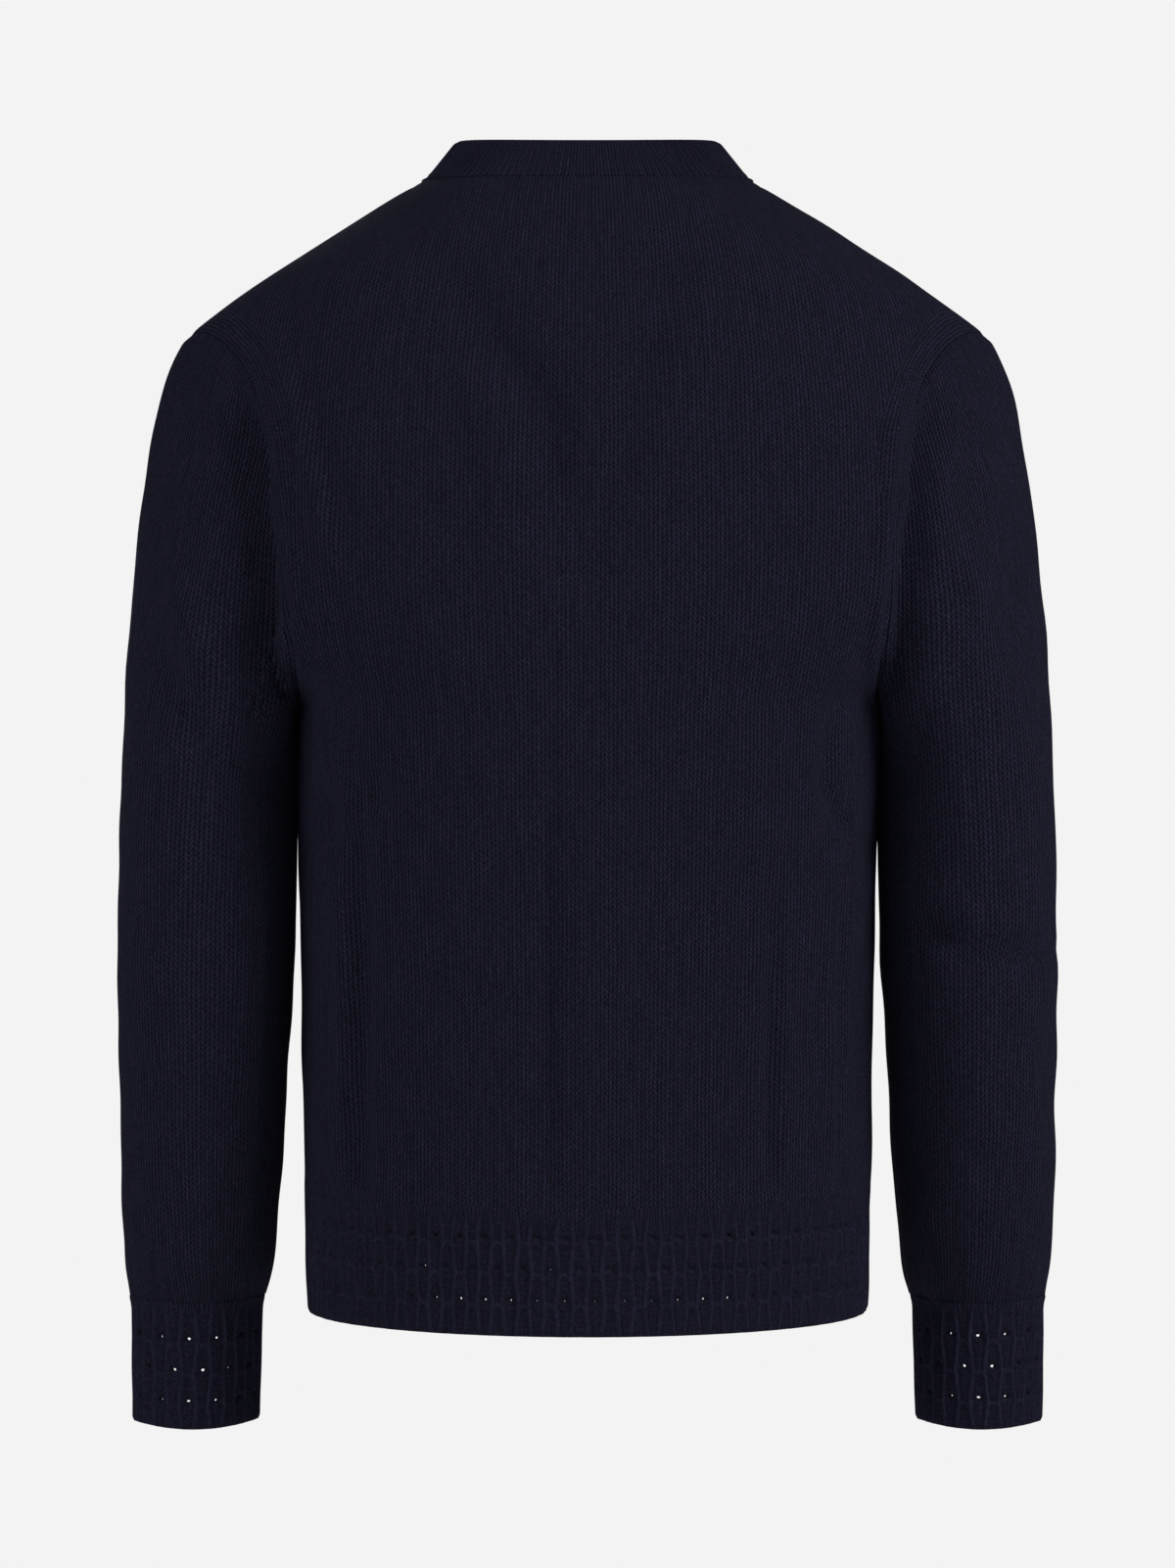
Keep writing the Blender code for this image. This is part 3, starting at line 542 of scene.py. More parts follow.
@dataclass(frozen=True)
class Knitting:
    """Woollen-spun lambswool, knitted on a machine.

    It gives a matt, slightly milled face: ropes of slanted strands, heathered navy, with a nap and rare
    pale fibres. Painted shade and light are in its colour: darker at the bottom of the grooves between
    strands, lighter on their crests and where the yarn is drawn up into a rib. The UV map "Stitches" counts
    metres of knitting. The attribute "Purl" is 1 where the face shows the reverse of the stitch, and "Cord"
    where the yarn is drawn up into a smooth rib.
    """
    name: str
    is_reverse: bool = False
    violet: str = "#282539"
    slate: str = "#232638"
    lint: str = "#5a6070"
    slant: float = 1.15  # courses that a strand climbs from the middle of a wale to its side
    sway: float = 0.0007  # how far the wales wander
    relief: float = 0.00085
    groove: float = 0.10  # painted shade: brightness of the colour at the bottom of the grooves
    crest: float = 1.75  # painted light: brightness that the crest of a strand adds to the colour
    cord: float = 0.72  # how full the yarn lies where it is drawn up into a rib, in its relief and in the painted light on it

    def formula(self) -> tuple[tuple, ...]:
        """Return the steps that work out the stitches: a name, an operation and its operands."""
        return (
            ("sway", "SUBTRACT", "sway", 0.5),
            ("u", "MULTIPLY_ADD", "sway", self.sway, "u"),
            ("v", "MULTIPLY_ADD", "sway", -self.sway, "v"),
            ("wale", "DIVIDE", "u", WALE),
            ("course", "DIVIDE", "v", COURSE),
            ("away", "FRACT", "wale"),
            ("away", "SUBTRACT", "away", 0.5),
            ("away", "ABSOLUTE", "away"),
            ("leg", "MULTIPLY", "away", 2 * math.pi),
            ("leg", "SINE", "leg"),
            ("leg", "POWER", "leg", 0.6),
            ("strand", "MULTIPLY_ADD", "away", -2 * self.slant, "course"),
            ("strand", "FRACT", "strand"),
            ("strand", "MULTIPLY", "strand", math.pi),
            ("strand", "SINE", "strand"),
            ("strand", "MULTIPLY_ADD", "strand", 0.70, 0.30),
            ("knit", "MULTIPLY", "leg", "strand"),
            ("bump", "MULTIPLY", "wale", 2 * math.pi),
            ("bump", "COSINE", "bump"),
            ("bump", "MULTIPLY_ADD", "bump", 0.12, "course"),
            ("bump", "FRACT", "bump"),
            ("bump", "MULTIPLY", "bump", math.pi),
            ("bump", "SINE", "bump"),
            ("bump", "MULTIPLY_ADD", "bump", 0.16, 0.30),
            ("bump", "SUBTRACT", "bump", "knit"),
            ("stitch", "MULTIPLY_ADD", "bump", "purl", "knit"),
            ("full", "SUBTRACT", self.cord, "stitch"),
            ("stitch", "MULTIPLY_ADD", "full", "cord", "stitch"),
            ("fuzz", "SUBTRACT", "fibre", 0.5),
            ("height", "MULTIPLY_ADD", "fuzz", 0.35, "stitch"),
            # Painted shade and light: the colour follows the stitch's height, dark in the grooves and light
            # on the crests.
            ("tone_with_painted_shade", "MULTIPLY_ADD", "stitch", self.crest, self.groove),
            ("streak", "MULTIPLY_ADD", "streak", 0.60, 0.70),
            ("tone_with_painted_shade", "MULTIPLY", "tone_with_painted_shade", "streak"),
            ("grain", "MULTIPLY_ADD", "grain", 1.00, 0.50),
            ("tone_with_painted_shade", "MULTIPLY", "tone_with_painted_shade", "grain"),
            ("fuzz", "MULTIPLY_ADD", "fuzz", 1.2, 1.0),
            ("tone_with_painted_shade", "MULTIPLY", "tone_with_painted_shade", "fuzz"),
            ("lint", "SUBTRACT", "lint", 0.74),
            ("lint", "MULTIPLY", "lint", 3.0),
            ("lint", "MAXIMUM", "lint", 0.0),
            ("lint", "MINIMUM", "lint", 0.5),
        )

    def material(self) -> Material:
        """Make the material."""
        material, tree = new_material(self.name)
        places = add_node(tree, "ShaderNodeUVMap", uv_map="Stitches").outputs["UV"]
        split = add_node(tree, "ShaderNodeSeparateXYZ", {"Vector": places})
        streaks = add_node(tree, "ShaderNodeVectorMath", {0: places, 1: (1 / WALE, 45.0, 1.0)},
                           operation="MULTIPLY")
        stitches = add_node(tree, "ShaderNodeVectorMath", {0: places, 1: (2 / WALE, 1 / COURSE, 1.0)},
                            operation="MULTIPLY")
        noise = {
            "sway": (places, 40.0, 1.0, 0.5),
            "heather": (places, 130.0, 5.0, 0.8),
            "streak": (streaks.outputs["Vector"], 1.0, 2.0, 0.6),
            "grain": (stitches.outputs["Vector"], 1.0, 1.0, 0.6),
            "fibre": (places, 1500.0, 2.0, 0.7),
            "lint": (places, 520.0, 2.0, 0.6),
        }
        values = {"u": split.outputs["X"], "v": split.outputs["Y"], "purl": 1.0, "cord": 0.0}
        for name, (place, scale, detail, roughness) in noise.items():
            made = add_node(tree, "ShaderNodeTexNoise", {"Vector": place, "Scale": scale, "Detail": detail,
                                                         "Roughness": roughness}, noise_dimensions="2D")
            values[name] = made.outputs["Fac"]
        if not self.is_reverse:
            for name in ("Purl", "Cord"):
                look = add_node(tree, "ShaderNodeAttribute", attribute_name=name)
                values[name.lower()] = look.outputs["Fac"]
        for name, operation, *operands in self.formula():
            inputs = {index: values.get(operand, operand) for index, operand in enumerate(operands)}
            values[name] = add_node(tree, "ShaderNodeMath", inputs, operation=operation).outputs[0]
        blend = add_node(tree, "ShaderNodeValToRGB", {"Fac": values["heather"]})
        for stop, place, colour in zip(blend.color_ramp.elements, (0.38, 0.62), (self.violet, self.slate)):
            stop.position = place
            stop.color = linear(colour)
        # The yarn's colour is scaled by its tone, which holds the painted shade and light as well as random
        # streaks and grain.
        yarn = add_node(tree, "ShaderNodeVectorMath", {0: blend.outputs["Color"], "Scale": values["tone_with_painted_shade"]},
                        operation="SCALE")
        colour = add_node(tree, "ShaderNodeMix", {"Factor": values["lint"], "A": yarn.outputs["Vector"],
                                                  "B": linear(self.lint)}, data_type="RGBA")
        relief = add_node(tree, "ShaderNodeBump", {"Height": values["height"], "Distance": self.relief,
                                                   "Strength": 1.0})
        shader = add_node(tree, "ShaderNodeBsdfPrincipled", {
            "Base Color": colour.outputs["Result"], "Normal": relief.outputs["Normal"], "Roughness": 0.93,
            "Specular IOR Level": 0.12, "Sheen Weight": 0.06, "Sheen Roughness": 0.55,
            "Sheen Tint": linear("#7c84ac")})
        add_node(tree, "ShaderNodeOutputMaterial", {"Surface": shader.outputs["BSDF"]})
        return material


@dataclass(frozen=True)
class Horn:
    """Dark horn, turned and polished: nearly black with smoky streaks and a soft gloss."""
    name: str = "Polished dark horn"
    dark: str = "#16151b"
    smoke: str = "#34313a"

    def material(self) -> Material:
        """Make the material."""
        material, tree = new_material(self.name)
        places = add_node(tree, "ShaderNodeTexCoord").outputs["Object"]
        grain = add_node(tree, "ShaderNodeMapping", {"Vector": places, "Scale": (420.0, 420.0, 110.0),
                                                     "Rotation": (0.4, 0.2, 0.5)})
        clouds = add_node(tree, "ShaderNodeTexNoise", {"Vector": grain.outputs["Vector"], "Scale": 1.0,
                                                       "Detail": 4.0, "Distortion": 0.8})
        blend = add_node(tree, "ShaderNodeValToRGB", {"Fac": clouds.outputs["Fac"]})
        for stop, place, colour in zip(blend.color_ramp.elements, (0.42, 0.78), (self.dark, self.smoke)):
            stop.position = place
            stop.color = linear(colour)
        gloss = add_node(tree, "ShaderNodeMapRange", {"Value": clouds.outputs["Fac"], "To Min": 0.22,
                                                      "To Max": 0.38})
        shader = add_node(tree, "ShaderNodeBsdfPrincipled", {
            "Base Color": blend.outputs["Color"], "Roughness": gloss.outputs["Result"], "IOR": 1.54})
        add_node(tree, "ShaderNodeOutputMaterial", {"Surface": shader.outputs["BSDF"]})
        return material


@dataclass(frozen=True)
class Thread:
    """Polyester sewing thread, twisted: fine slanted ridges and a little lustre."""
    name: str = "Twisted sewing thread"
    colour: str = "#191b2a"

    def material(self) -> Material:
        """Make the material."""
        material, tree = new_material(self.name)
        places = add_node(tree, "ShaderNodeTexCoord").outputs["Object"]
        twist = add_node(tree, "ShaderNodeTexWave", {"Vector": places, "Scale": 520.0, "Distortion": 0.6},
                         bands_direction="DIAGONAL")
        relief = add_node(tree, "ShaderNodeBump", {"Height": twist.outputs["Fac"], "Distance": 0.0002})
        shader = add_node(tree, "ShaderNodeBsdfPrincipled", {
            "Base Color": linear(self.colour), "Roughness": 0.6, "Normal": relief.outputs["Normal"]})
        add_node(tree, "ShaderNodeOutputMaterial", {"Surface": shader.outputs["BSDF"]})
        return material


# ----------------------------------------------------------------------
# Cloth


def add_object(name: str, bm: BMesh, *materials: Material) -> Object:
    """Turn a bmesh into an object of the scene, at the origin.

    Args:
        name: Name of the object and its mesh.
        bm: The shape, which is freed.
        materials: Its materials, in order.

    Returns:
        The object.
    """
    mesh = bpy.data.meshes.new(name)
    bm.to_mesh(mesh)
    bm.free()
    for material in materials:
        mesh.materials.append(material)
    made = bpy.data.objects.new(name, mesh)
    bpy.context.scene.collection.objects.link(made)
    return made


class Crease(NamedTuple):
    """A soft trough (or ridge, with a negative depth) along a line of (x, z) points, in metres."""
    face: Face
    line: tuple[tuple[float, float], ...]
    half_width: float
    depth: float


def creases_on(face: Face, *rows: tuple) -> tuple[Crease, ...]:
    """Return creases of one face, from rows of a line, a half width and a depth, in millimetres."""
    return tuple(Crease(face, tuple((x / 1000, z / 1000) for x, z in line), half_width / 1000, depth / 1000)
                 for line, half_width, depth in rows)


def crease_depths(grid: Grid, creases: Sequence[Crease]) -> Array:
    """Return how deep the creases are at each point of a grid, in metres.

    Args:
        grid: The cloth's points.
        creases: Creases, each on one face of the garment.

    Returns:
        Depths, rows x columns.
    """
    total = np.zeros(grid.shape[:2])
    flat = grid[..., [0, 2]]
    for crease in creases:
        points = np.array(crease.line)
        lengths = np.linalg.norm(np.diff(points, axis=0), axis=1)
        nearest = np.full(total.shape, np.inf)
        fade = np.zeros(total.shape)
        before = 0.0
        for start, end, length in zip(points, points[1:], lengths):
            share = np.clip(((flat - start) @ (end - start)) / length ** 2, 0.0, 1.0)
            away = np.linalg.norm(flat - (start + share[..., None] * (end - start)), axis=-1)
            run = (before + share * length) / lengths.sum()
            rise = np.sin(math.pi * np.clip(run, *CREASE_ENDS)) ** CREASE_ROUND
            fade = np.where(away < nearest, rise, fade)
            nearest = np.minimum(nearest, away)
            before += length
        on_face = 1.0 / (1.0 + np.exp(np.clip(-grid[..., 1] * crease.face.value / FACE_BLEND, -60, 60)))
        total += crease.depth * hump(nearest, crease.half_width) * fade * on_face
    return total


def unevenness(grid: Grid, seed: int, height: float, cell: float, waves: int = 7) -> Array:
    """Return a soft, seeded unevenness of the cloth.

    Args:
        grid: The cloth's points.
        seed: Seed of the draw.
        height: Rough height in metres.
        cell: Rough size of its waves in metres.
        waves: How many waves are added up.

    Returns:
        Heights, rows x columns.
    """
    draw = np.random.default_rng(seed)
    total = np.zeros(grid.shape[:2])
    for _ in range(waves):
        way = unit(draw.normal(size=3))
        pace = 2 * math.pi / (cell * draw.uniform(0.7, 1.6))
        total += np.sin(grid @ way * pace + draw.uniform(0, 2 * math.pi))
    return total * height / math.sqrt(waves)


def comb(grid: Grid, ways: Array, rounds: int = 500) -> Array:
    """Find the measure that grows along given directions as evenly as it can.

    Args:
        grid: Points of a cloth.
        ways: At each point, the unit direction in which the measure grows.
        rounds: Steps of the conjugate gradient search.

    Returns:
        The measure at each point, in metres.
    """
    def slopes(values: Array) -> tuple[Array, Array]:
        """Return the steps from column to column and from row to row."""
        return np.diff(values, axis=1), np.diff(values, axis=0)

    def gather(across: Array, up: Array) -> Array:
        """Return what the steps add at each point."""
        total = np.zeros(grid.shape[:2])
        total[:, 1:] += across
        total[:, :-1] -= across
        total[1:] += up
        total[:-1] -= up
        return total

    across, up = slopes(grid)
    wanted = (np.sum(across * (ways[:, 1:] + ways[:, :-1]), axis=-1) / 2,
              np.sum(up * (ways[1:] + ways[:-1]), axis=-1) / 2)
    values = np.zeros(grid.shape[:2])
    rest = gather(*wanted)
    search = rest.copy()
    size = np.sum(rest * rest)
    for _ in range(rounds):
        change = gather(*slopes(search))
        step = size / np.sum(search * change)
        values += step * search
        rest -= step * change
        before, size = size, np.sum(rest * rest)
        if size < 1e-14:
            break
        search = rest + search * (size / before)
    return values


@dataclass
class Cloth:
    """One piece of knitting, as a grid of points with a stitch for every place.

    Attributes:
        name: Name of the piece, the same as that of the node it stands for.
        grid: Points of the face of the cloth.
        core_x: X of the hollow that the cloth surrounds.
        across: Metres of knitting across the wales at each point.
        up: Metres of knitting along the wales at each point.
        purl: How far each point shows the reverse of the stitch, from 0 to 1.
        cord: How far the yarn is drawn up into a rib at each point, from 0 to 1.
        is_closed: Whether the last column lies on the first.
        border: Faces whose wales follow an edge: their mask, and their own across and up.
        holes: Mask of the faces that are left out.
    """
    name: str
    grid: Grid
    core_x: float = 0.0
    across: Array | None = None
    up: Array | None = None
    purl: Array | None = None
    cord: Array | None = None
    is_closed: bool = False
    border: tuple[Array, Array, Array] | None = None
    holes: Array | None = None
    form: Grid = field(init=False)
    normals: Array = field(init=False)
    is_flipped: bool = field(init=False)

    def __post_init__(self) -> None:
        """Keep the plain form and find the side where the face is."""
        self.form = self.grid.copy()
        across = np.gradient(self.grid, axis=1)
        if self.is_closed:
            across[:, 0] = across[:, -1] = self.grid[:, 1] - self.grid[:, -2]
        normals = unit(np.cross(across, np.gradient(self.grid, axis=0)))
        core = np.stack([np.full(self.grid.shape[:2], self.core_x), np.zeros(self.grid.shape[:2]),
                         self.grid[..., 2]], axis=-1)
        self.is_flipped = bool(np.sum(normals * (self.grid - core)) < 0)
        self.normals = -normals if self.is_flipped else normals

    def count_stitches(self, middle: int, wales: Array) -> None:
        """Measure the knitting across from a middle column and up from the bottom row.

        Args:
            middle: Index of the column at which the first wale lies.
            wales: Direction in which the wales run, at each point or everywhere.
        """
        wales = unit(wales - np.sum(wales * self.normals, axis=-1, keepdims=True) * self.normals)
        across = np.cross(wales, self.normals) * (-1 if self.is_flipped else 1)
        self.across = comb(self.form, across)
        self.across -= self.across[:, middle].mean()
        self.up = comb(self.form, wales)
        self.up -= self.up.min()

    def from_edge(self, edge: Edge) -> Array:
        """Return the distance of each point from an edge, along its row or column."""
        axis = 1 if edge in (Edge.FIRST, Edge.LAST) else 0
        run = lengths_along(self.form, axis)
        if edge in (Edge.LAST, Edge.TOP):
            run = run.max(axis=axis, keepdims=True) - run
        return run

    def raise_by(self, heights: Array) -> None:
        """Move the face out by a height at each point."""
        self.grid = self.grid + self.normals * heights[..., None]

    def pull_edge(self, edge: Edge, pulls: Array, reach: float) -> None:
        """Draw an edge in, as a seam does.

        Args:
            edge: The edge.
            pulls: How far each of its points moves, or all of them.
            reach: How wide the groove is.
        """
        share = hump(self.from_edge(edge), reach)[..., None]
        pulls = np.asarray(pulls)
        if pulls.ndim > 1 and edge in (Edge.FIRST, Edge.LAST):
            pulls = pulls[:, None]
        self.grid = self.grid + share * pulls

    def sink_edge(self, edge: Edge, depth: float, reach: float) -> None:
        """Draw an edge in by a depth, towards the wearer."""
        self.raise_by(-depth * hump(self.from_edge(edge), reach))

    def cut_size(self) -> tuple[float, float, float]:
        """Return the width, length and area of the piece as it is knitted, laid flat."""
        a = self.form[1:, 1:] - self.form[:-1, :-1]
        b = self.form[1:, :-1] - self.form[:-1, 1:]
        area = float(np.linalg.norm(np.cross(a, b), axis=-1).sum() / 2)
        rows = np.linalg.norm(np.diff(self.form, axis=1), axis=-1).sum(axis=1)
        columns = np.linalg.norm(np.diff(self.form, axis=0), axis=-1).sum(axis=0)
        return float(rows.max()), float(columns.max()), area

    def build(self, slot: Slot, materials: Sequence[Material]) -> Object:
        """Args:
            slot: The record's slot for its finish. Not used.
            materials: The finish of its face, then that of its reverse.

        Returns:
            The piece.
        """
        rows, columns = self.grid.shape[:2]
        bm = bmesh.new()
        stitches = bm.loops.layers.uv.new("Stitches")
        looks = (bm.verts.layers.float.new("Purl"), bm.verts.layers.float.new("Cord"))
        bmesh.ops.create_grid(bm, x_segments=columns - 1, y_segments=rows - 1, size=1.0)
        shares = [np.zeros(rows * columns) if look is None else look.reshape(-1)
                  for look in (self.purl, self.cord)]
        for vertex, point, *look in zip(bm.verts, self.grid.reshape(-1, 3), *shares):
            vertex.co = point
            for layer, share in zip(looks, look):
                vertex[layer] = share
        places = np.stack([self.across, self.up], axis=-1).reshape(-1, 2)
        in_border = np.zeros((rows - 1) * (columns - 1), dtype=bool)
        own = places
        if self.border is not None:
            in_border = self.border[0].reshape(-1)
            own = np.stack(self.border[1:], axis=-1).reshape(-1, 2)
        for face, is_own in zip(bm.faces, in_border):
            source = own if is_own else places
            for loop in face.loops:
                loop[stitches].uv = source[loop.vert.index]
        if self.holes is not None:
            bm.faces.ensure_lookup_table()
            left_out = [bm.faces[index] for index in np.flatnonzero(self.holes.reshape(-1))]
            bmesh.ops.delete(bm, geom=left_out, context="FACES")
        if self.is_closed:
            bmesh.ops.remove_doubles(bm, verts=bm.verts, dist=MERGE)
        if self.is_flipped:
            bmesh.ops.reverse_faces(bm, faces=bm.faces)
        piece = add_object(self.name + "_knit", bm, *materials)
        piece.data.shade_smooth()
        wall = piece.modifiers.new("Wall", "SOLIDIFY")
        wall.thickness = WALL
        wall.offset = -1.0
        wall.material_offset = len(materials) - 1
        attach(piece, BODY)
        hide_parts(self.name)
        width, length, area = self.cut_size()
        log.info("%s: %d faces, cut %.0f x %.0f mm, %.4f m2", self.name, len(piece.data.polygons),
                 width * 1000, length * 1000, area)
        return piece


def mirrored(grid: Grid, side: Side) -> Grid:
    """Return a grid of the left side, mirrored when the side is the right one."""
    return grid * (side.value, 1.0, 1.0)


# ----------------------------------------------------------------------
# Panels and sleeves


BACK_CREASES = creases_on(
    Face.BACK,
    (((-54, -44), (-22, -156), (4, -225)), 13, 6.6),
    (((85, -49), (48, -105), (22.5, -140), (10, -225)), 14, 7.2),
    (((62, -110), (46, -160), (40, -235)), 15, -4.8),
    (((172, -101), (158, -150), (146, -200), (136, -240)), 7, -2.7),
    (((162, -101), (146, -160), (123, -230)), 7, 2.3),
    (((-174, -110), (-168, -160), (-164, -250), (-159, -371)), 6, -3),
    (((21, -228), (-22, -228)), 4, 1.6),
    (((16, -300), (-22, -301)), 4, 1.6),
    (((21, -349), (-17, -348)), 6, 2.4),
    (((16, -375), (-22, -376)), 4, 1.6),
    (((20, -280), (20.5, -430), (20, -560), (19, -630)), 4, 3.4),
    (((0, -330), (-2, -450), (0, -600)), 13, -2.4),
    (((126, -335), (124, -450), (127, -615)), 6.5, 5),
    (((137, -350), (136, -450), (138, -590)), 6, -3.9),
    (((140, -328), (133, -350), (128, -375)), 4, -2.4),
    (((146, -335), (145, -385)), 7, 3.9),
    (((117, -335), (113, -362)), 7, 3.3),
    (((-102, -400), (-101.5, -500), (-102, -600)), 4.5, 3.6),
    (((-108, -420), (-107.5, -590)), 5, -2.1),
    (((-136.5, -380), (-136, -480), (-137, -590)), 5, -3.3),
    (((-141, -380), (-140.5, -590)), 4, 3.3),
    (((-137, -305), (-131, -343), (-145, -370), (-158, -381)), 5, 4.2),
    (((-152.7, -440), (-152, -560)), 4.5, 3),
)
FRONT_CREASES = creases_on(
    Face.FRONT,
    (((150, -300), (118, -335), (85, -350)), 11, 2.8),
    (((-152, -292), (-112, -322), (-70, -332)), 12, 3.2),
    (((128, -370), (125, -470), (129, -600)), 8, 3.2),
    (((-122, -385), (-126, -480), (-120, -590)), 8, 2.9),
    (((62, -430), (60, -590)), 6, 1.8),
    (((-55, -400), (-58, -560)), 6, 1.8),
    (((85, -120), (52, -200), (40, -290)), 13, 3),
    (((-92, -118), (-60, -190), (-50, -270)), 13, 3),
    (((170, -130), (158, -190), (154, -245)), 6, -1.6),
    (((-170, -130), (-158, -190), (-154, -245)), 6, -1.6),
)
SLEEVE_CREASES = creases_on(
    Face.BACK,
    (((187, -260), (184, -330), (182, -420)), 12, 5.2),
    (((-183, -422), (-215, -436), (-266, -439)), 5.5, 6.4),
    (((-185, -403), (-220, -417)), 8, -2.2),
    (((-222, -160), (-219, -205), (-214, -256), (-194, -272)), 11, -3),
    (((246, -212), (214, -275), (184, -335)), 11, -4.2),
    (((254, -235), (230, -290), (200, -350)), 10, 3.6),
    (((186, -395), (215, -420), (245, -424)), 9, 1.6),
    (((190, -520), (214, -545), (236, -548)), 8, 1.4),
    (((-196, -535), (-222, -556), (-250, -556)), 8, 1.4),
) + creases_on(
    Face.FRONT,
    (((180, -400), (214, -432), (252, -436)), 8, 3.4),
    (((184, -446), (212, -468), (238, -470)), 8, 2.4),
    (((-182, -392), (-214, -424), (-250, -430)), 8, 3.1),
    (((-186, -452), (-214, -472), (-242, -472)), 8, 2.6),
    (((238, -215), (206, -275), (180, -318)), 12, 2.6),
    (((-238, -222), (-206, -282), (-180, -325)), 12, 2.6),
    (((190, -545), (218, -572), (246, -572)), 8, 1.8),
    (((-192, -530), (-216, -558), (-244, -560)), 8, 1.8),
)


class Tuck(NamedTuple):
    """A dip of a sleeve beside the armhole: how deep, and how far from the seam it is deepest and ends."""
    side: Side
    face: Face
    depth: float
    deepest: float
    reach: float


TUCKS = (
    Tuck(Side.LEFT, Face.BACK, 0.0160, 0.0085, 0.0500),
    Tuck(Side.RIGHT, Face.BACK, 0.0080, 0.0075, 0.0290),
    Tuck(Side.LEFT, Face.FRONT, 0.0110, 0.0080, 0.0380),
    Tuck(Side.RIGHT, Face.FRONT, 0.0120, 0.0080, 0.0420),
)


def by_armhole(points: Array, face: Face) -> Array:
    """Return how far armhole points lie on a face of the garment and below the shoulder, from 0 to 1."""
    return ease(points[..., 1] * face.value, *TUCK_DEPTHS) * ease(-points[..., 2], *TUCK_DROPS)


@dataclass
class Body:
    """The back, the two fronts and the set-in sleeves, in stockinette."""
    face: Material
    reverse: Material
    border: float = 0.0180  # width of the wales that follow the armhole
    seam_depth: float = 0.0011
    seam_reach: float = 0.0028
    sleeve_course: float = 0.00295  # the sleeves are knitted a little looser
    touch: float = 0.0009  # how far sleeve and side fill out to meet below the armhole,
    touch_level: float = -0.345  # at what level, and how far above and below it
    touch_height: float = 0.040
    roll: float = 0.0016  # how far the panels stand up next to the armhole,
    roll_place: float = 0.0060  # and how far from it
    unevenness: float = 0.0005
    pleats: float = 0.00045  # height of a sleeve's pleats above the cuff,
    pleats_place: float = 0.014  # how far above it they are fullest,
    pleats_height: float = 0.016  # and how far up they reach
    halves: dict[bool, Grid] = field(init=False)
    loop: Array = field(init=False)
    side_pulls: dict[bool, Array] = field(init=False)
    top_pulls: dict[bool, Array] = field(init=False)
    sleeve_pulls: Array = field(init=False)

    def __post_init__(self) -> None:
        """Work out the half panels, and how their shared seams are drawn in, all for the left side."""
        foot, neck = TORSO.side_rows, TORSO.neck_columns
        back, front = TORSO.half(is_front=False), TORSO.half(is_front=True)
        front[:foot + 1, -1] = back[:foot + 1, -1]
        self.halves = {False: back, True: front}
        self.loop = np.concatenate([back[foot:, -1][::-1], front[foot:, -1][1:-1]])
        behind, ahead = Cloth("", back).normals, Cloth("", front).normals
        arm = Cloth("", ARM.sleeve(self.loop), core_x=SLEEVE_RINGS[0].centre_x).normals[-1]
        arm = np.roll(arm[:-1], len(self.loop) // 2, axis=0)
        armhole = np.concatenate([behind[foot:, -1][::-1], ahead[foot:, -1][1:-1]])
        shoulder = behind[-1, neck:] + ahead[-1, neck:]
        armhole[0] = shoulder[-1] / 2
        tucked = by_armhole(self.loop, Face.BACK) + by_armhole(self.loop, Face.FRONT)
        around = -self.seam_depth * unit(armhole + arm) * (1 - 0.8 * tucked[:, None])
        high = len(back) - foot
        self.sleeve_pulls = around
        sides = -self.seam_depth * unit(behind[:foot, -1] + ahead[:foot, -1])
        back_edge, front_edge = around[:high][::-1], np.concatenate([around[high - 1:], around[:1]])
        self.side_pulls = {False: np.concatenate([sides, back_edge]),
                           True: np.concatenate([sides, front_edge])}
        seam = -self.seam_depth * 0.6 * unit(shoulder)
        seam[-1] = around[0]
        fade = np.zeros((neck, 3))
        self.top_pulls = {is_front: np.concatenate([fade, seam]) for is_front in (False, True)}

    def follow_armhole(self, cloth: Cloth, edges: Sequence[int]) -> None:
        """Let the wales next to the armhole edges run along them, in a border of their own."""
        mask = np.zeros((cloth.grid.shape[0] - 1, cloth.grid.shape[1] - 1), dtype=bool)
        across, up = cloth.across.copy(), cloth.up.copy()
        foot = TORSO.side_rows
        for column in edges:
            edge = cloth.form[foot:, column]
            run = lengths_along(edge)
            away = np.linalg.norm(cloth.form[:, :, None] - edge[None, None], axis=-1)
            nearest = away.argmin(axis=-1)
            distance = away.min(axis=-1)
            centre = (distance[1:, 1:] + distance[:-1, :-1]) / 2
            near = centre < self.border * ease(cloth.form[1:, 1:, 2], -0.215, -0.165)
            near[:foot] = False
            mask |= near
            close = distance < 2 * self.border
            across = np.where(close, -distance, across)
            up = np.where(close, run[nearest], up)
        cloth.border = (mask, across, up)

    def touching(self, cloth: Cloth) -> Array:
        """Return how fully sleeve and side meet at each point's level, from 0 to 1."""
        return hump(cloth.form[..., 2] - self.touch_level, self.touch_height)

    def tuck_depths(self, cloth: Cloth, side: Side) -> Array:
        """Return how deep a sleeve dips beside its armhole at each point."""
        edge = cloth.form[-1]
        away = np.linalg.norm(cloth.form[:, :, None] - edge[None, None], axis=-1)
        nearest = edge[away.argmin(axis=-1)]
        distance = away.min(axis=-1)
        total = np.zeros(distance.shape)
        for tuck in TUCKS:
            if tuck.side is side:
                profile = ease(distance, 0.0, tuck.deepest) * (1 - ease(distance, tuck.deepest, tuck.reach))
                total += tuck.depth * profile * by_armhole(nearest, tuck.face)
        return total

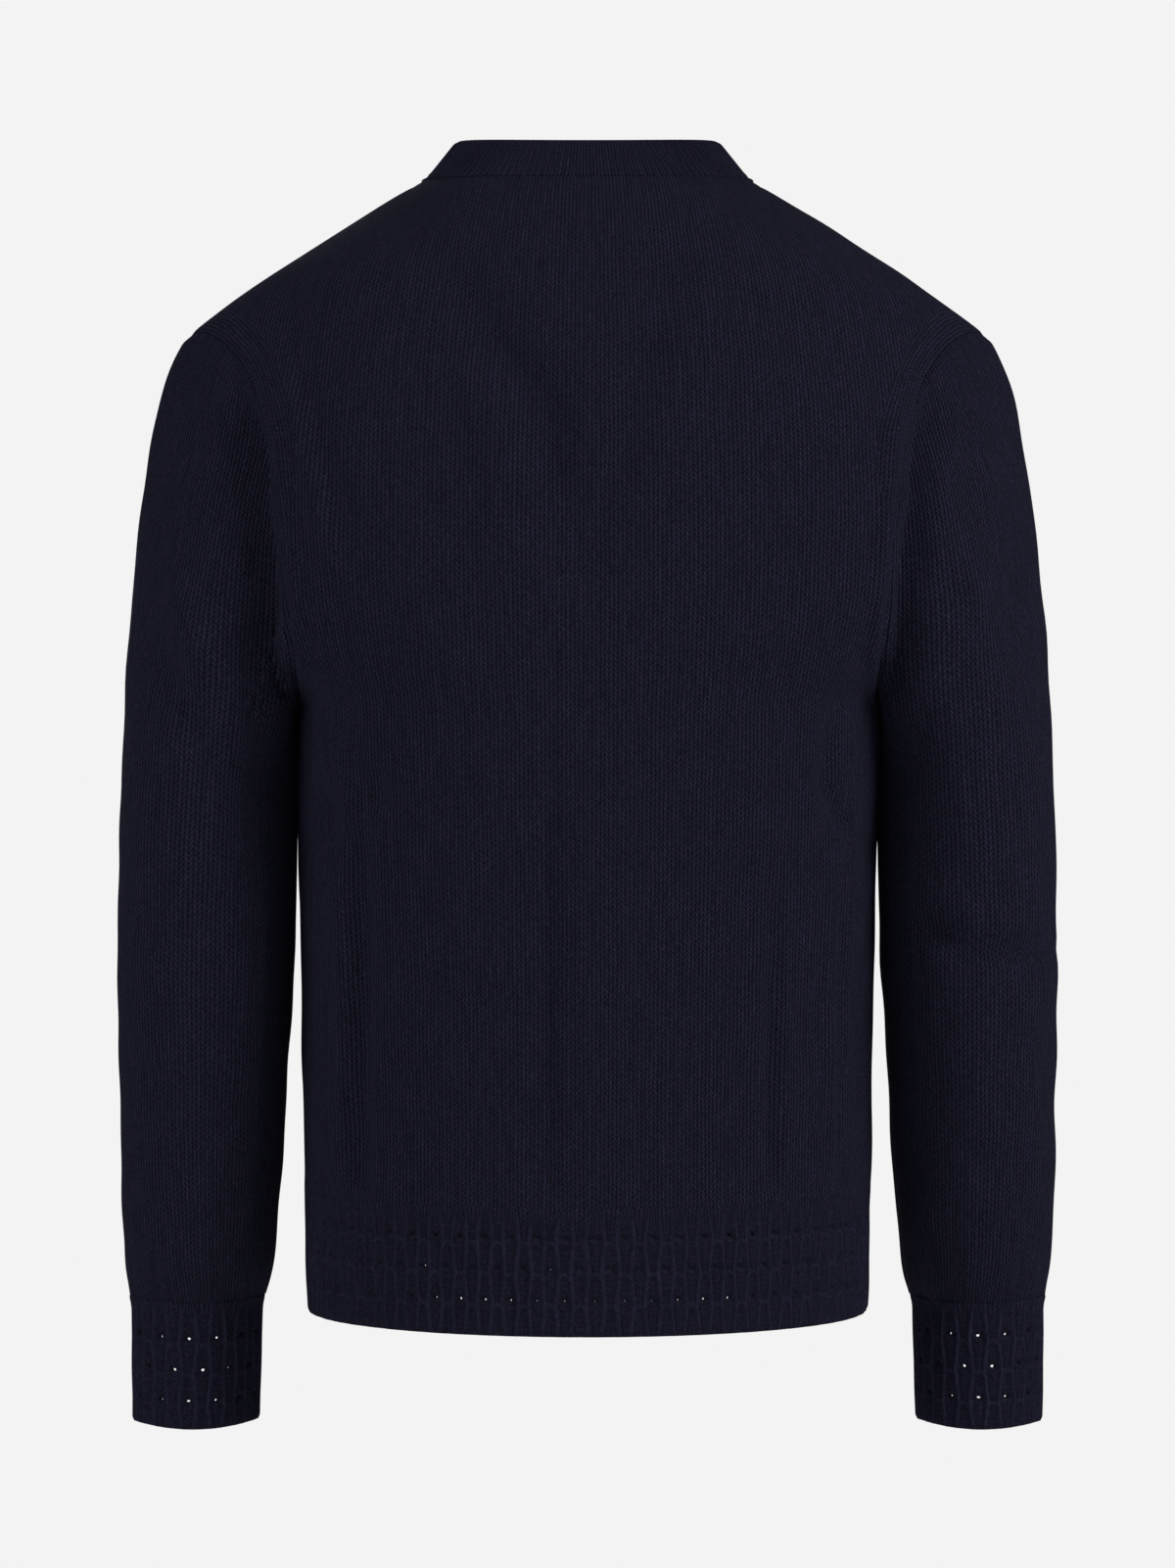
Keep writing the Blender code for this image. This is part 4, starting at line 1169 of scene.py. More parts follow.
    def panel(self, name: str, grid: Grid, creases: Sequence[Crease], seed: int, pulls: dict[Edge, Array]
              ) -> Object:
        """Dress a panel.

        Args:
            name: Name of the node that it stands for.
            grid: Its form.
            creases: Its soft creases.
            seed: Seed of its unevenness.
            pulls: How its seams are drawn in, by edge.
        """
        cloth = Cloth(name, grid)
        middle = grid.shape[1] // 2 if Edge.FIRST in pulls else 0
        cloth.count_stitches(middle, np.array([0.0, 0.0, 1.0]))
        sides = [edge for edge in pulls if edge is not Edge.TOP]
        self.follow_armhole(cloth, [0 if edge is Edge.FIRST else -1 for edge in sides])
        settle = ease(cloth.from_edge(Edge.BOTTOM), 0.0, 0.012) * ease(cloth.from_edge(Edge.TOP), 0.0, 0.010)
        heights = unevenness(cloth.form, seed, self.unevenness, 0.050) - crease_depths(cloth.form, creases)
        contact = self.touching(cloth)
        for edge in sides:
            away = cloth.from_edge(edge)
            heights = heights * ease(away, 0.0, 0.010) + self.touch * contact * hump(away, 0.012)
            by_arm = ease(cloth.form[..., 2], -0.300, -0.270) * (1 - ease(cloth.form[..., 2], -0.150, -0.110))
            heights += self.roll * hump(away - self.roll_place, self.roll_place) * by_arm
        cloth.raise_by(heights * settle)
        for edge, pull in pulls.items():
            cloth.pull_edge(edge, pull, self.seam_reach)
        return cloth.build(Slot.STOCKINETTE, (self.face, self.reverse))

    def build_back(self) -> Object:
        """Make the back in one piece."""
        def whole(half: Array) -> Array:
            """Join the mirrored half to the half, along the last axis but one."""
            other = mirrored(half, Side.RIGHT)
            return np.concatenate([np.flip(other, axis=-2)[..., :-1, :], half], axis=-2)

        side, top = self.side_pulls[False], whole(self.top_pulls[False])
        pulls = {Edge.FIRST: mirrored(side, Side.RIGHT), Edge.LAST: side, Edge.TOP: top}
        return self.panel("back", whole(self.halves[False]), BACK_CREASES, 11, pulls)

    def build_front(self, side: Side) -> Object:
        """Make one front."""
        grid = self.halves[True].copy()
        grid[..., 1] += TORSO.opening.stand_out(grid[..., 0], side)
        pulls = {Edge.LAST: mirrored(self.side_pulls[True], side),
                 Edge.TOP: mirrored(self.top_pulls[True], side)}
        return self.panel(f"front_{side.word}", mirrored(grid, side), FRONT_CREASES, 23 + side.value, pulls)

    def sleeve_wales(self, cloth: Cloth) -> Array:
        """Return the direction of a sleeve's wales: along its outline outside, straight up by the armhole."""
        middle = cloth.form.shape[1] // 2
        outline = cloth.form[:, middle]
        tangent = unit(np.gradient(outline, axis=0))
        heights = cloth.form[..., 2]
        along = read_line(heights, outline[:, 2], tangent)
        reach = np.abs(np.interp(heights, outline[:, 2], outline[:, 0]))
        inner = TORSO.shoulder_half_width * 0.7
        share = np.clip((np.abs(cloth.form[..., 0]) - inner) / (reach - inner), 0.0, 1.0)[..., None]
        return along * (0.35 + 0.65 * share) + np.array([0.0, 0.0, 0.65]) * (1 - share)

    def build_sleeve(self, side: Side) -> Object:
        """Make one sleeve."""
        grid = mirrored(ARM.sleeve(self.loop), side)
        core_x = side.value * SLEEVE_RINGS[0].centre_x
        plain = Cloth("", grid, core_x=core_x, is_closed=True)
        plain.raise_by(-self.tuck_depths(plain, side))
        cloth = Cloth(f"sleeve_{side.word}", plain.grid, core_x=core_x, is_closed=True)
        middle = grid.shape[1] // 2
        cloth.count_stitches(middle, self.sleeve_wales(cloth))
        cloth.up *= COURSE / self.sleeve_course
        settle = ease(cloth.from_edge(Edge.TOP), 0.0, 0.008) * ease(cloth.from_edge(Edge.BOTTOM), 0.0, 0.010)
        inside = np.minimum(cloth.from_edge(Edge.FIRST), cloth.from_edge(Edge.LAST))
        contact = self.touching(cloth)
        settle = settle * (1 - hump(inside, 0.016) * ease(cloth.form[..., 2], -0.45, -0.40))
        heights = (unevenness(cloth.form, 31 + side.value, self.unevenness, 0.045)
                   - crease_depths(cloth.form, SLEEVE_CREASES))
        turns = 2 * math.pi * np.arange(grid.shape[1]) / (grid.shape[1] - 1)
        pleats = np.cos(13 * turns + 1.5 * np.sin(2 * turns)) + 0.6 * np.cos(8 * turns + 0.7)
        fullness = hump(cloth.from_edge(Edge.BOTTOM) - self.pleats_place, self.pleats_height)
        cloth.raise_by(heights * settle + self.pleats * pleats * fullness
                       + self.touch * contact * hump(inside, 0.014))
        pulls = np.roll(self.sleeve_pulls, middle, axis=0)
        cloth.pull_edge(Edge.TOP, mirrored(np.concatenate([pulls, pulls[:1]]), side), self.seam_reach)
        return cloth.build(Slot.STOCKINETTE, (self.face, self.reverse))


# ----------------------------------------------------------------------
# Open-work hem and cuffs


class Eyelet(NamedTuple):
    """An eyelet at the foot of a tier, at a place counted in repeats, with its half width and half height."""
    tier: int
    place: float
    half_width: float
    half_height: float


@dataclass(frozen=True)
class OpenWork:
    """Tiers of ribs that part around eyelets and close again into arches, each tier half a repeat on."""
    steps: tuple[float, ...] = (0.0, 0.055, 0.11, 0.165, 0.205, 0.232, 0.25, 0.268, 0.295, 0.335, 0.39, 0.445)
    rows: int = 14  # per tier
    wales: int = 4  # per repeat
    closing: float = 0.065  # how far the ribs of an arch close in at its top, in repeats
    ridge_height: float = 0.0007
    ridge_width: float = 0.037
    hollow: float = 0.0004  # how far the ground sinks inside an arch and beside its ribs
    slit: float = 0.0007  # how far it sinks above an eyelet
    sink: float = 0.0009  # how far the ground lies below the garment's outline
    edge_fade: tuple[float, float] = (-0.003, 0.005)  # how it begins above the lower edge
    hole_columns: int = 2  # half the columns that an eyelet takes
    hole_rows: int = 3

    def tiers(self, count: int) -> tuple[Array, Array]:
        """Return the tier and the share of its height for each row, from the lower edge up."""
        tier = np.repeat(np.arange(count)[::-1], self.rows)
        share = np.tile(np.arange(self.rows, 0, -1) / self.rows, count)
        return np.append(tier, 0), np.append(share, 0.0)

    def lay_out(self, columns: Array, levels: Array) -> tuple[Array, Array, Array]:
        """Lay the tiers out on a piece.

        Args:
            columns: Place of each column, in repeats.
            levels: Heights of the edges of the tiers, from the top down.

        Returns:
            Each point's place in its own repeat, from -0.5 to 0.5, and for each row the share of its tier's
            height, as a column, and its level.
        """
        tier, share = self.tiers(len(levels) - 1)
        phase = columns[None, :] - 0.5 * (tier[:, None] % 2)
        depth = levels[tier] + (levels[tier + 1] - levels[tier]) * share
        return phase - np.round(phase), share[:, None], depth

    def dress(self, cloth: Cloth, columns: Array, rise: Array, phase: Array,
              share: Array, top_fade: float) -> Array:
        """Count a piece's stitches, and raise its ribs.

        Args:
            cloth: The piece.
            columns: Place of each column, in repeats.
            rise: Height of each row above the lower edge.
            phase: Each point's place in its own repeat.
            share: Each row's share of its tier's height.
            top_fade: How far below the seam the open work is whole.

        Returns:
            How whole the open work is at each point, from 0 at the edges to 1.
        """
        cloth.across = np.broadcast_to(columns * self.wales * WALE, cloth.grid.shape[:2])
        cloth.up = np.broadcast_to(rise[:, None], cloth.grid.shape[:2])
        fade = (ease(cloth.from_edge(Edge.TOP), 0.0, top_fade)
                * ease(cloth.from_edge(Edge.BOTTOM), *self.edge_fade))
        cloth.purl = np.broadcast_to(self.purl(phase), fade.shape) * fade
        cloth.cord = self.strokes(phase, share) * fade
        cloth.raise_by((self.heights(phase, share) - self.sink) * fade)
        return fade

    def shift(self, phase: Array, share: Array) -> Array:
        """Return how far the cloth moves sideways, in repeats: in at the top of an arch, out at its foot."""
        return self.closing * (2 * share - 1.0) * np.sin(2 * math.pi * phase)

    def strokes(self, phase: Array, share: Array) -> Array:
        """Return where the two ribs of an arch and the bend that joins them run, from 0 to 1."""
        ribs = hump(np.abs(phase) - 0.25, self.ridge_width)
        bend = hump(share - 0.05 - 2.4 * phase ** 2, 0.070) * (1 - ease(np.abs(phase), 0.22, 0.28))
        return np.maximum(ribs, bend)

    def heights(self, phase: Array, share: Array) -> Array:
        """Return the relief of a tier, in metres."""
        away = np.abs(phase)
        inside = -self.hollow * (1 - ease(away, 0.12, 0.20)) * hump(share - 0.30, 0.20)
        groove = -self.hollow * hump(away - 0.345, 0.035)
        slit = -self.slit * (1 - ease(away, 0.14, 0.24)) * ease(share, 0.80, 0.92)
        return self.ridge_height * self.strokes(phase, share) + inside + groove + slit

    def purl(self, phase: Array) -> Array:
        """Return where the face shows the reverse of the stitch: between the ribs."""
        return 0.9 * (1.0 - hump(np.abs(phase) - 0.25, 2 * self.ridge_width))

    def places(self, low: float, high: float) -> Array:
        """Return the columns between two ends, in repeats, closer together at the ribs."""
        halves = np.arange(math.floor(2 * low), math.ceil(2 * high))[:, None] / 2
        every = (halves + np.array(self.steps)).reshape(-1)
        return np.concatenate([[low], every[(every > low + 0.02) & (every < high - 0.02)], [high]])

    def open_eyelet(self, grid: Grid, holes: Array, eyelet: Eyelet, columns: Array, tiers: int) -> None:
        """Cut an eyelet into a grid: mark its faces, and round the edge of the gap that they leave.

        Args:
            grid: Points of the cloth, changed in place.
            holes: Mask of the faces that are left out, changed in place.
            eyelet: The eyelet.
            columns: Place of each column, in repeats.
            tiers: Number of tiers.
        """
        middle = int(np.argmin(np.abs(columns - eyelet.place)))
        reach = self.hole_columns
        if not reach < middle < len(columns) - 1 - reach or abs(columns[middle] - eyelet.place) > 1e-6:
            return
        bottom = (tiers - 1 - eyelet.tier) * self.rows
        top = bottom + self.hole_rows
        block = grid[bottom:top + 1, middle - reach:middle + reach + 1]
        centre = block[1:-1, reach - 1:reach + 2].mean(axis=(0, 1))
        right = unit(block[:, -1].mean(axis=0) - block[:, 0].mean(axis=0))
        rise = unit(block[-1].mean(axis=0) - block[0].mean(axis=0))
        for row in range(self.hole_rows + 1):
            for column in range(2 * reach + 1):
                if 0 < row < self.hole_rows and 0 < column < 2 * reach:
                    continue
                turn = math.atan2(row / self.hole_rows * 2 - 1, column / reach - 1)
                around = (right * math.cos(turn) * eyelet.half_width
                          + rise * math.sin(turn) * eyelet.half_height)
                depth = (block[row, column] - centre) @ np.cross(right, rise)
                grid[bottom + row, middle - reach + column] = centre + around + np.cross(right, rise) * depth
        holes[bottom:top, middle - reach:middle + reach] = True


    def open_eyelets(self, cloth: Cloth, eyelets: Sequence[Eyelet], columns: Array, tiers: int) -> None:
        """Cut eyelets into a piece."""
        cloth.holes = np.zeros((cloth.grid.shape[0] - 1, cloth.grid.shape[1] - 1), dtype=bool)
        for eyelet in eyelets:
            self.open_eyelet(cloth.grid, cloth.holes, eyelet, columns, tiers)

    def eyelet_places(self, columns: Array, tiers: int) -> list[tuple[int, float]]:
        """List the tier and the place, in repeats, of every eyelet between the first and last column."""
        return [(tier, whole + 0.5 * (tier % 2)) for tier in range(tiers - 1)
                for whole in range(math.ceil(columns[0] - 0.5 * (tier % 2)), math.floor(columns[-1]) + 1)]


OPEN_WORK = OpenWork()


@dataclass
class HemBand:
    """The open-work band around the hem: one piece below the back and one below each front."""
    face: Material
    reverse: Material
    levels: tuple[float, ...] = (-0.5740, -0.5917, -0.6087, -0.6256, -0.6435)
    repeat: float = 0.0144
    wide_repeats: float = 0.22  # the repeats about the middle of the back are wider, by this much in all
    wide_reach: float = 0.020
    offset: float = 0.0040  # place of the middle repeat, to the wearer's right
    # Where the eyelets of each tier are fullest, and over how wide a part, both in repeats:
    fullest: tuple[tuple[float, float], ...] = ((6.0, 2.0), (6.6, 1.0), (5.0, 2.4))
    side_places: tuple[float, float] = (9.0, 12.0)  # the eyelets open again from here to here, to the sides,
    side_opening: float = 0.5  # by this share
    shut_width: float = 0.0003  # half width of an eyelet that is drawn nearly shut
    gain_width: float = 0.0007  # what the fullest one is wider
    flatness: float = 0.65  # height of an eyelet over its width
    top_fade: float = 0.014
    dense: int = 400  # points from which a row is read

    def place_of(self, run: float) -> float:
        """Return the place, in repeats, of a length along the band from the middle of the back."""
        run += self.offset
        return run / self.repeat - self.wide_repeats * math.tanh(run / self.wide_reach)

    def weave(self, name: str, half_runs: tuple[float, float], is_front: bool, side: Side | None) -> Object:
        """Make one piece of the band.

        Args:
            name: Name of the node that it stands for.
            half_runs: The lengths along the middle of the band at which the piece begins and ends.
            is_front: Whether it hangs below a front.
            side: The side of a front's piece.
        """
        columns = OPEN_WORK.places(*(self.place_of(run) for run in half_runs))
        phase, share, depth = OPEN_WORK.lay_out(columns, np.array(self.levels))
        ends = np.minimum(columns - columns[0], columns[-1] - columns)
        shift = OPEN_WORK.shift(phase, share) * ease(ends, 0.1, 0.6)
        runs = np.linspace(half_runs[0] - 0.01, half_runs[1] + 0.01, 2000)
        lengths = np.interp(columns[None, :] + shift, [self.place_of(run) for run in runs], runs)
        lengths = (lengths - half_runs[0]) / (half_runs[1] - half_runs[0])
        lengths[:, 0], lengths[:, -1] = 0.0, 1.0
        picks = BAND_SEAM_ROW * (depth - HEM_LEVEL) / (BAND_SEAM_LEVEL - HEM_LEVEL)
        rows = smooth_table(FRONT_ROWS if is_front else BACK_ROWS, picks)
        grid = np.array([self.line(row, length, is_front, side) for row, length in zip(rows, lengths)])
        cloth = Cloth(name, grid)
        fade = OPEN_WORK.dress(cloth, columns, depth - HEM_LEVEL, phase, share, self.top_fade)
        cloth.raise_by(unevenness(grid, 41 + is_front, 0.0004, 0.030) * fade)
        cloth.sink_edge(Edge.BOTTOM, 0.0012, 0.0016)
        for edge in (Edge.FIRST, Edge.LAST):
            cloth.sink_edge(edge, 0.0010, 0.0024)
        OPEN_WORK.open_eyelets(cloth, self.eyelets(columns), columns, len(self.levels) - 1)
        return cloth.build(Slot.RIB, (self.face, self.reverse))

    def line(self, row: Array, lengths: Array, is_front: bool, side: Side | None) -> Array:
        """Return the points of a row at shares of the piece's own length."""
        row[EDGE_Y] = 0.0
        start = share_at_width(row, TORSO.opening.half_width) if is_front else 0.0
        half = section(row, np.linspace(start, 1.0, self.dense))
        if is_front:
            half[:, 1] += TORSO.opening.stand_out(half[:, 0], side)
            whole = mirrored(half, side)
        else:
            whole = np.concatenate([mirrored(half, Side.RIGHT)[:0:-1], half])
        run = lengths_along(whole[:, :2])
        if is_front and side is Side.LEFT:
            whole, run = whole[::-1], run[-1] - run[::-1]
        return read_line(lengths * run[-1], run, whole)

    def half_run(self, is_front: bool) -> float:
        """Return the length of the band from a side seam to the middle of the back, or to the opening."""
        row = smooth_table(FRONT_ROWS if is_front else BACK_ROWS, [BAND_SEAM_ROW / 2])[0]
        start = share_at_width(row, TORSO.opening.half_width) if is_front else 0.0
        points = section(row, np.linspace(start, 1.0, self.dense))
        return float(np.linalg.norm(np.diff(points[:, :2], axis=0), axis=-1).sum())

    def eyelets(self, columns: Array) -> list[Eyelet]:
        """List the eyelets. Those at the middle of the back and above its sides are drawn nearly shut."""
        result = []
        for tier, place in OPEN_WORK.eyelet_places(columns, len(self.levels) - 1):
            middle, reach = self.fullest[tier]
            aside = self.side_opening * ease(abs(place), *self.side_places)
            spread = float(max(hump(abs(place) - middle, reach), aside))
            width = self.shut_width + self.gain_width * spread
            result.append(Eyelet(tier, place, width, width * self.flatness))
        return result

    def build(self) -> None:
        """Make the three pieces."""
        back, front = self.half_run(False), self.half_run(True)
        self.weave("hem_band_back", (-back, back), False, None)
        self.weave("hem_band_front_left", (back, back + front), True, Side.LEFT)
        self.weave("hem_band_front_right", (-back - front, -back), True, Side.RIGHT)


@dataclass
class Cuff:
    """An open-work cuff."""
    side: Side
    face: Material
    reverse: Material
    levels: tuple[float, ...] = (-0.6380, -0.6584, -0.6758, -0.6936, -0.7100)
    repeats: int = 14
    half_width: float = 0.0012
    half_height: float = 0.0008
    left_turn: float = 0.22  # repeats by which the left cuff's eyelets lie further in, front and back
    left_drop: float = 0.0022  # how much lower they lie
    top_fade: float = 0.010
    top_rise: float = 0.0007  # how far the upper edge stands out to meet the sleeve
    top_reach: float = 0.008  # and over what height

    def build(self) -> Object:
        """Make the cuff."""
        is_left = self.side is Side.LEFT
        start = 0.0 if is_left else 0.5
        columns = OPEN_WORK.places(start + self.repeats / 2, start + self.repeats * 3 / 2)
        levels = np.array(self.levels)
        levels[1:-1] -= self.left_drop * is_left
        phase, share, depth = OPEN_WORK.lay_out(columns, levels)
        turned = columns - start + OPEN_WORK.shift(phase, share)
        turns = turned * 2 * math.pi / self.repeats
        turns += np.sin(turns) * self.left_turn * is_left * 2 * math.pi / self.repeats
        picks = (len(CUFF_RINGS) - 1) * (CUFF_SEAM_LEVEL - depth) / (CUFF_SEAM_LEVEL - CUFF_EDGE_LEVEL)
        rings = smooth_table(CUFF_RINGS, picks)
        rows = [ARM.ring(np.array([level, *ring[1:]]), turn)
                for level, ring, turn in zip(depth, rings, turns)]
        grid = mirrored(np.array(rows), self.side)
        grid[:, -1] = grid[:, 0]
        core_x = self.side.value * CUFF_RINGS[0].centre_x
        cloth = Cloth(f"cuff_{self.side.word}", grid, core_x=core_x, is_closed=True)
        OPEN_WORK.dress(cloth, columns, depth - CUFF_EDGE_LEVEL, phase, share, self.top_fade)
        cloth.raise_by(self.top_rise * (1 - ease(cloth.from_edge(Edge.TOP), 0.0, self.top_reach)))
        cloth.sink_edge(Edge.BOTTOM, 0.0012, 0.0016)
        tiers = len(self.levels) - 1
        eyelets = [Eyelet(tier, place, self.half_width, self.half_height)
                   for tier, place in OPEN_WORK.eyelet_places(columns, tiers)]
        OPEN_WORK.open_eyelets(cloth, eyelets, columns, tiers)
        return cloth.build(Slot.RIB, (self.face, self.reverse))


# ----------------------------------------------------------------------
# Neckband and button bands


@dataclass(frozen=True)
class Rib:
    """Narrow ribs, each one wale with its two legs."""
    pitch: float = 0.00404
    columns: int = 6
    height: float = 0.0007
    parting: float = 0.00025

    def heights(self, run: Array) -> Array:
        """Return the relief at lengths across the ribs, below the garment's outline."""
        place = run / self.pitch - np.floor(run / self.pitch)
        round_top = np.sqrt(np.clip(np.sin(math.pi * place), 0.0, None))
        return self.height * (round_top - 1.0) - self.parting * hump(place - 0.5, 0.13)


RIB = Rib()


@dataclass
class Neckband:
    """The ribbed neckband, whose left end laps over its right end at the centre front."""
    face: Material
    reverse: Material
    rows: int = 16
    flare: float = 0.0009  # how far its foot stands out,
    flare_reach: float = 0.0075  # and over what height
    turned: float = 0.0014  # how far the upper edge rolls in, over what height,
    turned_reach: float = 0.0017
    plain_reach: float = 0.0016  # and how far down it has no ribs
    seam: float = 0.0006  # depth of the groove above the base seam, and height of its chain
    groove_level: float = 0.0026
    groove_reach: float = 0.0012
    chain_reach: float = 0.0014

    def edges(self, count: int) -> tuple[Array, Array]:
        """Return dense points along the neckline and along the neckband's upper edge, from end to end.

        Args:
            count: Points on each quarter.
        """
        neck, opening = TORSO.neck, TORSO.opening
        start = math.asin(opening.half_width / neck.half_width)
        front = np.linspace(start, math.pi / 2, count, endpoint=False)
        back = np.linspace(math.pi / 2, 0.0, count)
        result = []
        for line in (neck.line, neck.top):
            halves = []
            for side in (Side.LEFT, Side.RIGHT):
                corner = line(np.array([start]), True)[0]
                lap = np.stack([np.linspace(-opening.half_width, corner[0], count // 3, endpoint=False),
                                np.full(count // 3, corner[1]), np.full(count // 3, corner[2])], axis=1)
                ahead = np.concatenate([lap, line(front, True)])
                ahead[:, 1] += opening.stand_out(ahead[:, 0], side)
                halves.append(mirrored(np.concatenate([ahead, line(back, False)]), side))
            result.append(np.concatenate([halves[0], halves[1][-2::-1]]))
        return result[0], result[1]

    def build(self) -> Object:
        """Make the neckband."""
        base, top = self.edges(240)
        run = lengths_along(base)
        ribs = round(run[-1] / RIB.pitch)
        places = np.linspace(0.0, run[-1], ribs * RIB.columns + 1)
        low, high = (read_line(places, run, line) for line in (base, top))
        shares = 1.0 - (1.0 - np.arange(self.rows + 1) / self.rows) ** 1.3
        grid = low + (high - low) * shares[:, None, None]
        cloth = Cloth("neckband", grid)
        across = places / run[-1] * ribs
        cloth.across = np.broadcast_to(across * WALE, grid.shape[:2])
        cloth.up = lengths_along(grid)
        relief = np.broadcast_to(RIB.heights(across * RIB.pitch), grid.shape[:2])
        below_top = cloth.from_edge(Edge.TOP)
        above_base = cloth.from_edge(Edge.BOTTOM)
        cloth.raise_by(relief * (1 - hump(below_top, self.plain_reach))
                       - self.turned * hump(below_top, self.turned_reach))
        cloth.raise_by(self.flare * (1 - ease(above_base, 0.0, self.flare_reach)))
        chain = 0.5 + 0.5 * np.cos(2 * math.pi * (across + 0.5))
        cloth.raise_by(-self.seam * hump(above_base - self.groove_level, self.groove_reach)
                       + self.seam * chain * hump(above_base, self.chain_reach))
        for edge in (Edge.FIRST, Edge.LAST):
            cloth.sink_edge(edge, 0.0010, 0.0016)
        return cloth.build(Slot.RIB, (self.face, self.reverse))


@dataclass
class OpeningBand:
    """A button band of upright ribs along the edge of a front, on its own side of the opening."""
    side: Side
    node: str
    face: Material
    reverse: Material
    rows: int = 170
    ribs: int = 8

    def profile(self) -> Array:
        """Return the edge of the front from the hem to the neckline."""
        picks = np.linspace(0.0, len(FRONT_ROWS) - 1, 60)
        hem_to_yoke = np.array([line[0] for line in TORSO.lines(picks, True)])
        cap = TORSO.half(is_front=True)[-TORSO.cap_rows:, 0]
        return np.concatenate([hem_to_yoke, cap])

    def build(self) -> Object:
        """Make the band."""
        edge = self.profile()
        run = lengths_along(edge)
        places = np.linspace(0.0, run[-1], self.rows + 1)
        line = read_line(places, run, edge)
        half = TORSO.opening.half_width
        xs = self.side.value * np.linspace(half, -half, self.ribs * RIB.columns + 1)
        grid = np.repeat(line[:, None], len(xs), axis=1)
        grid[..., 0] = xs
        grid[..., 1] += TORSO.opening.stand_out(np.array(half), self.side)
        cloth = Cloth(self.node, grid)
        ribs = np.linspace(0.0, self.ribs, len(xs))
        cloth.across = np.broadcast_to(ribs * WALE, grid.shape[:2])
        cloth.up = np.broadcast_to(places[:, None], grid.shape[:2])
        relief = np.broadcast_to(RIB.heights(ribs * RIB.pitch), grid.shape[:2])
        cloth.raise_by(relief)
        cloth.sink_edge(Edge.LAST, 0.0008, 0.0012)
        cloth.sink_edge(Edge.BOTTOM, 0.0010, 0.0016)
        return cloth.build(Slot.RIB, (self.face, self.reverse))


# ----------------------------------------------------------------------
# Buttons


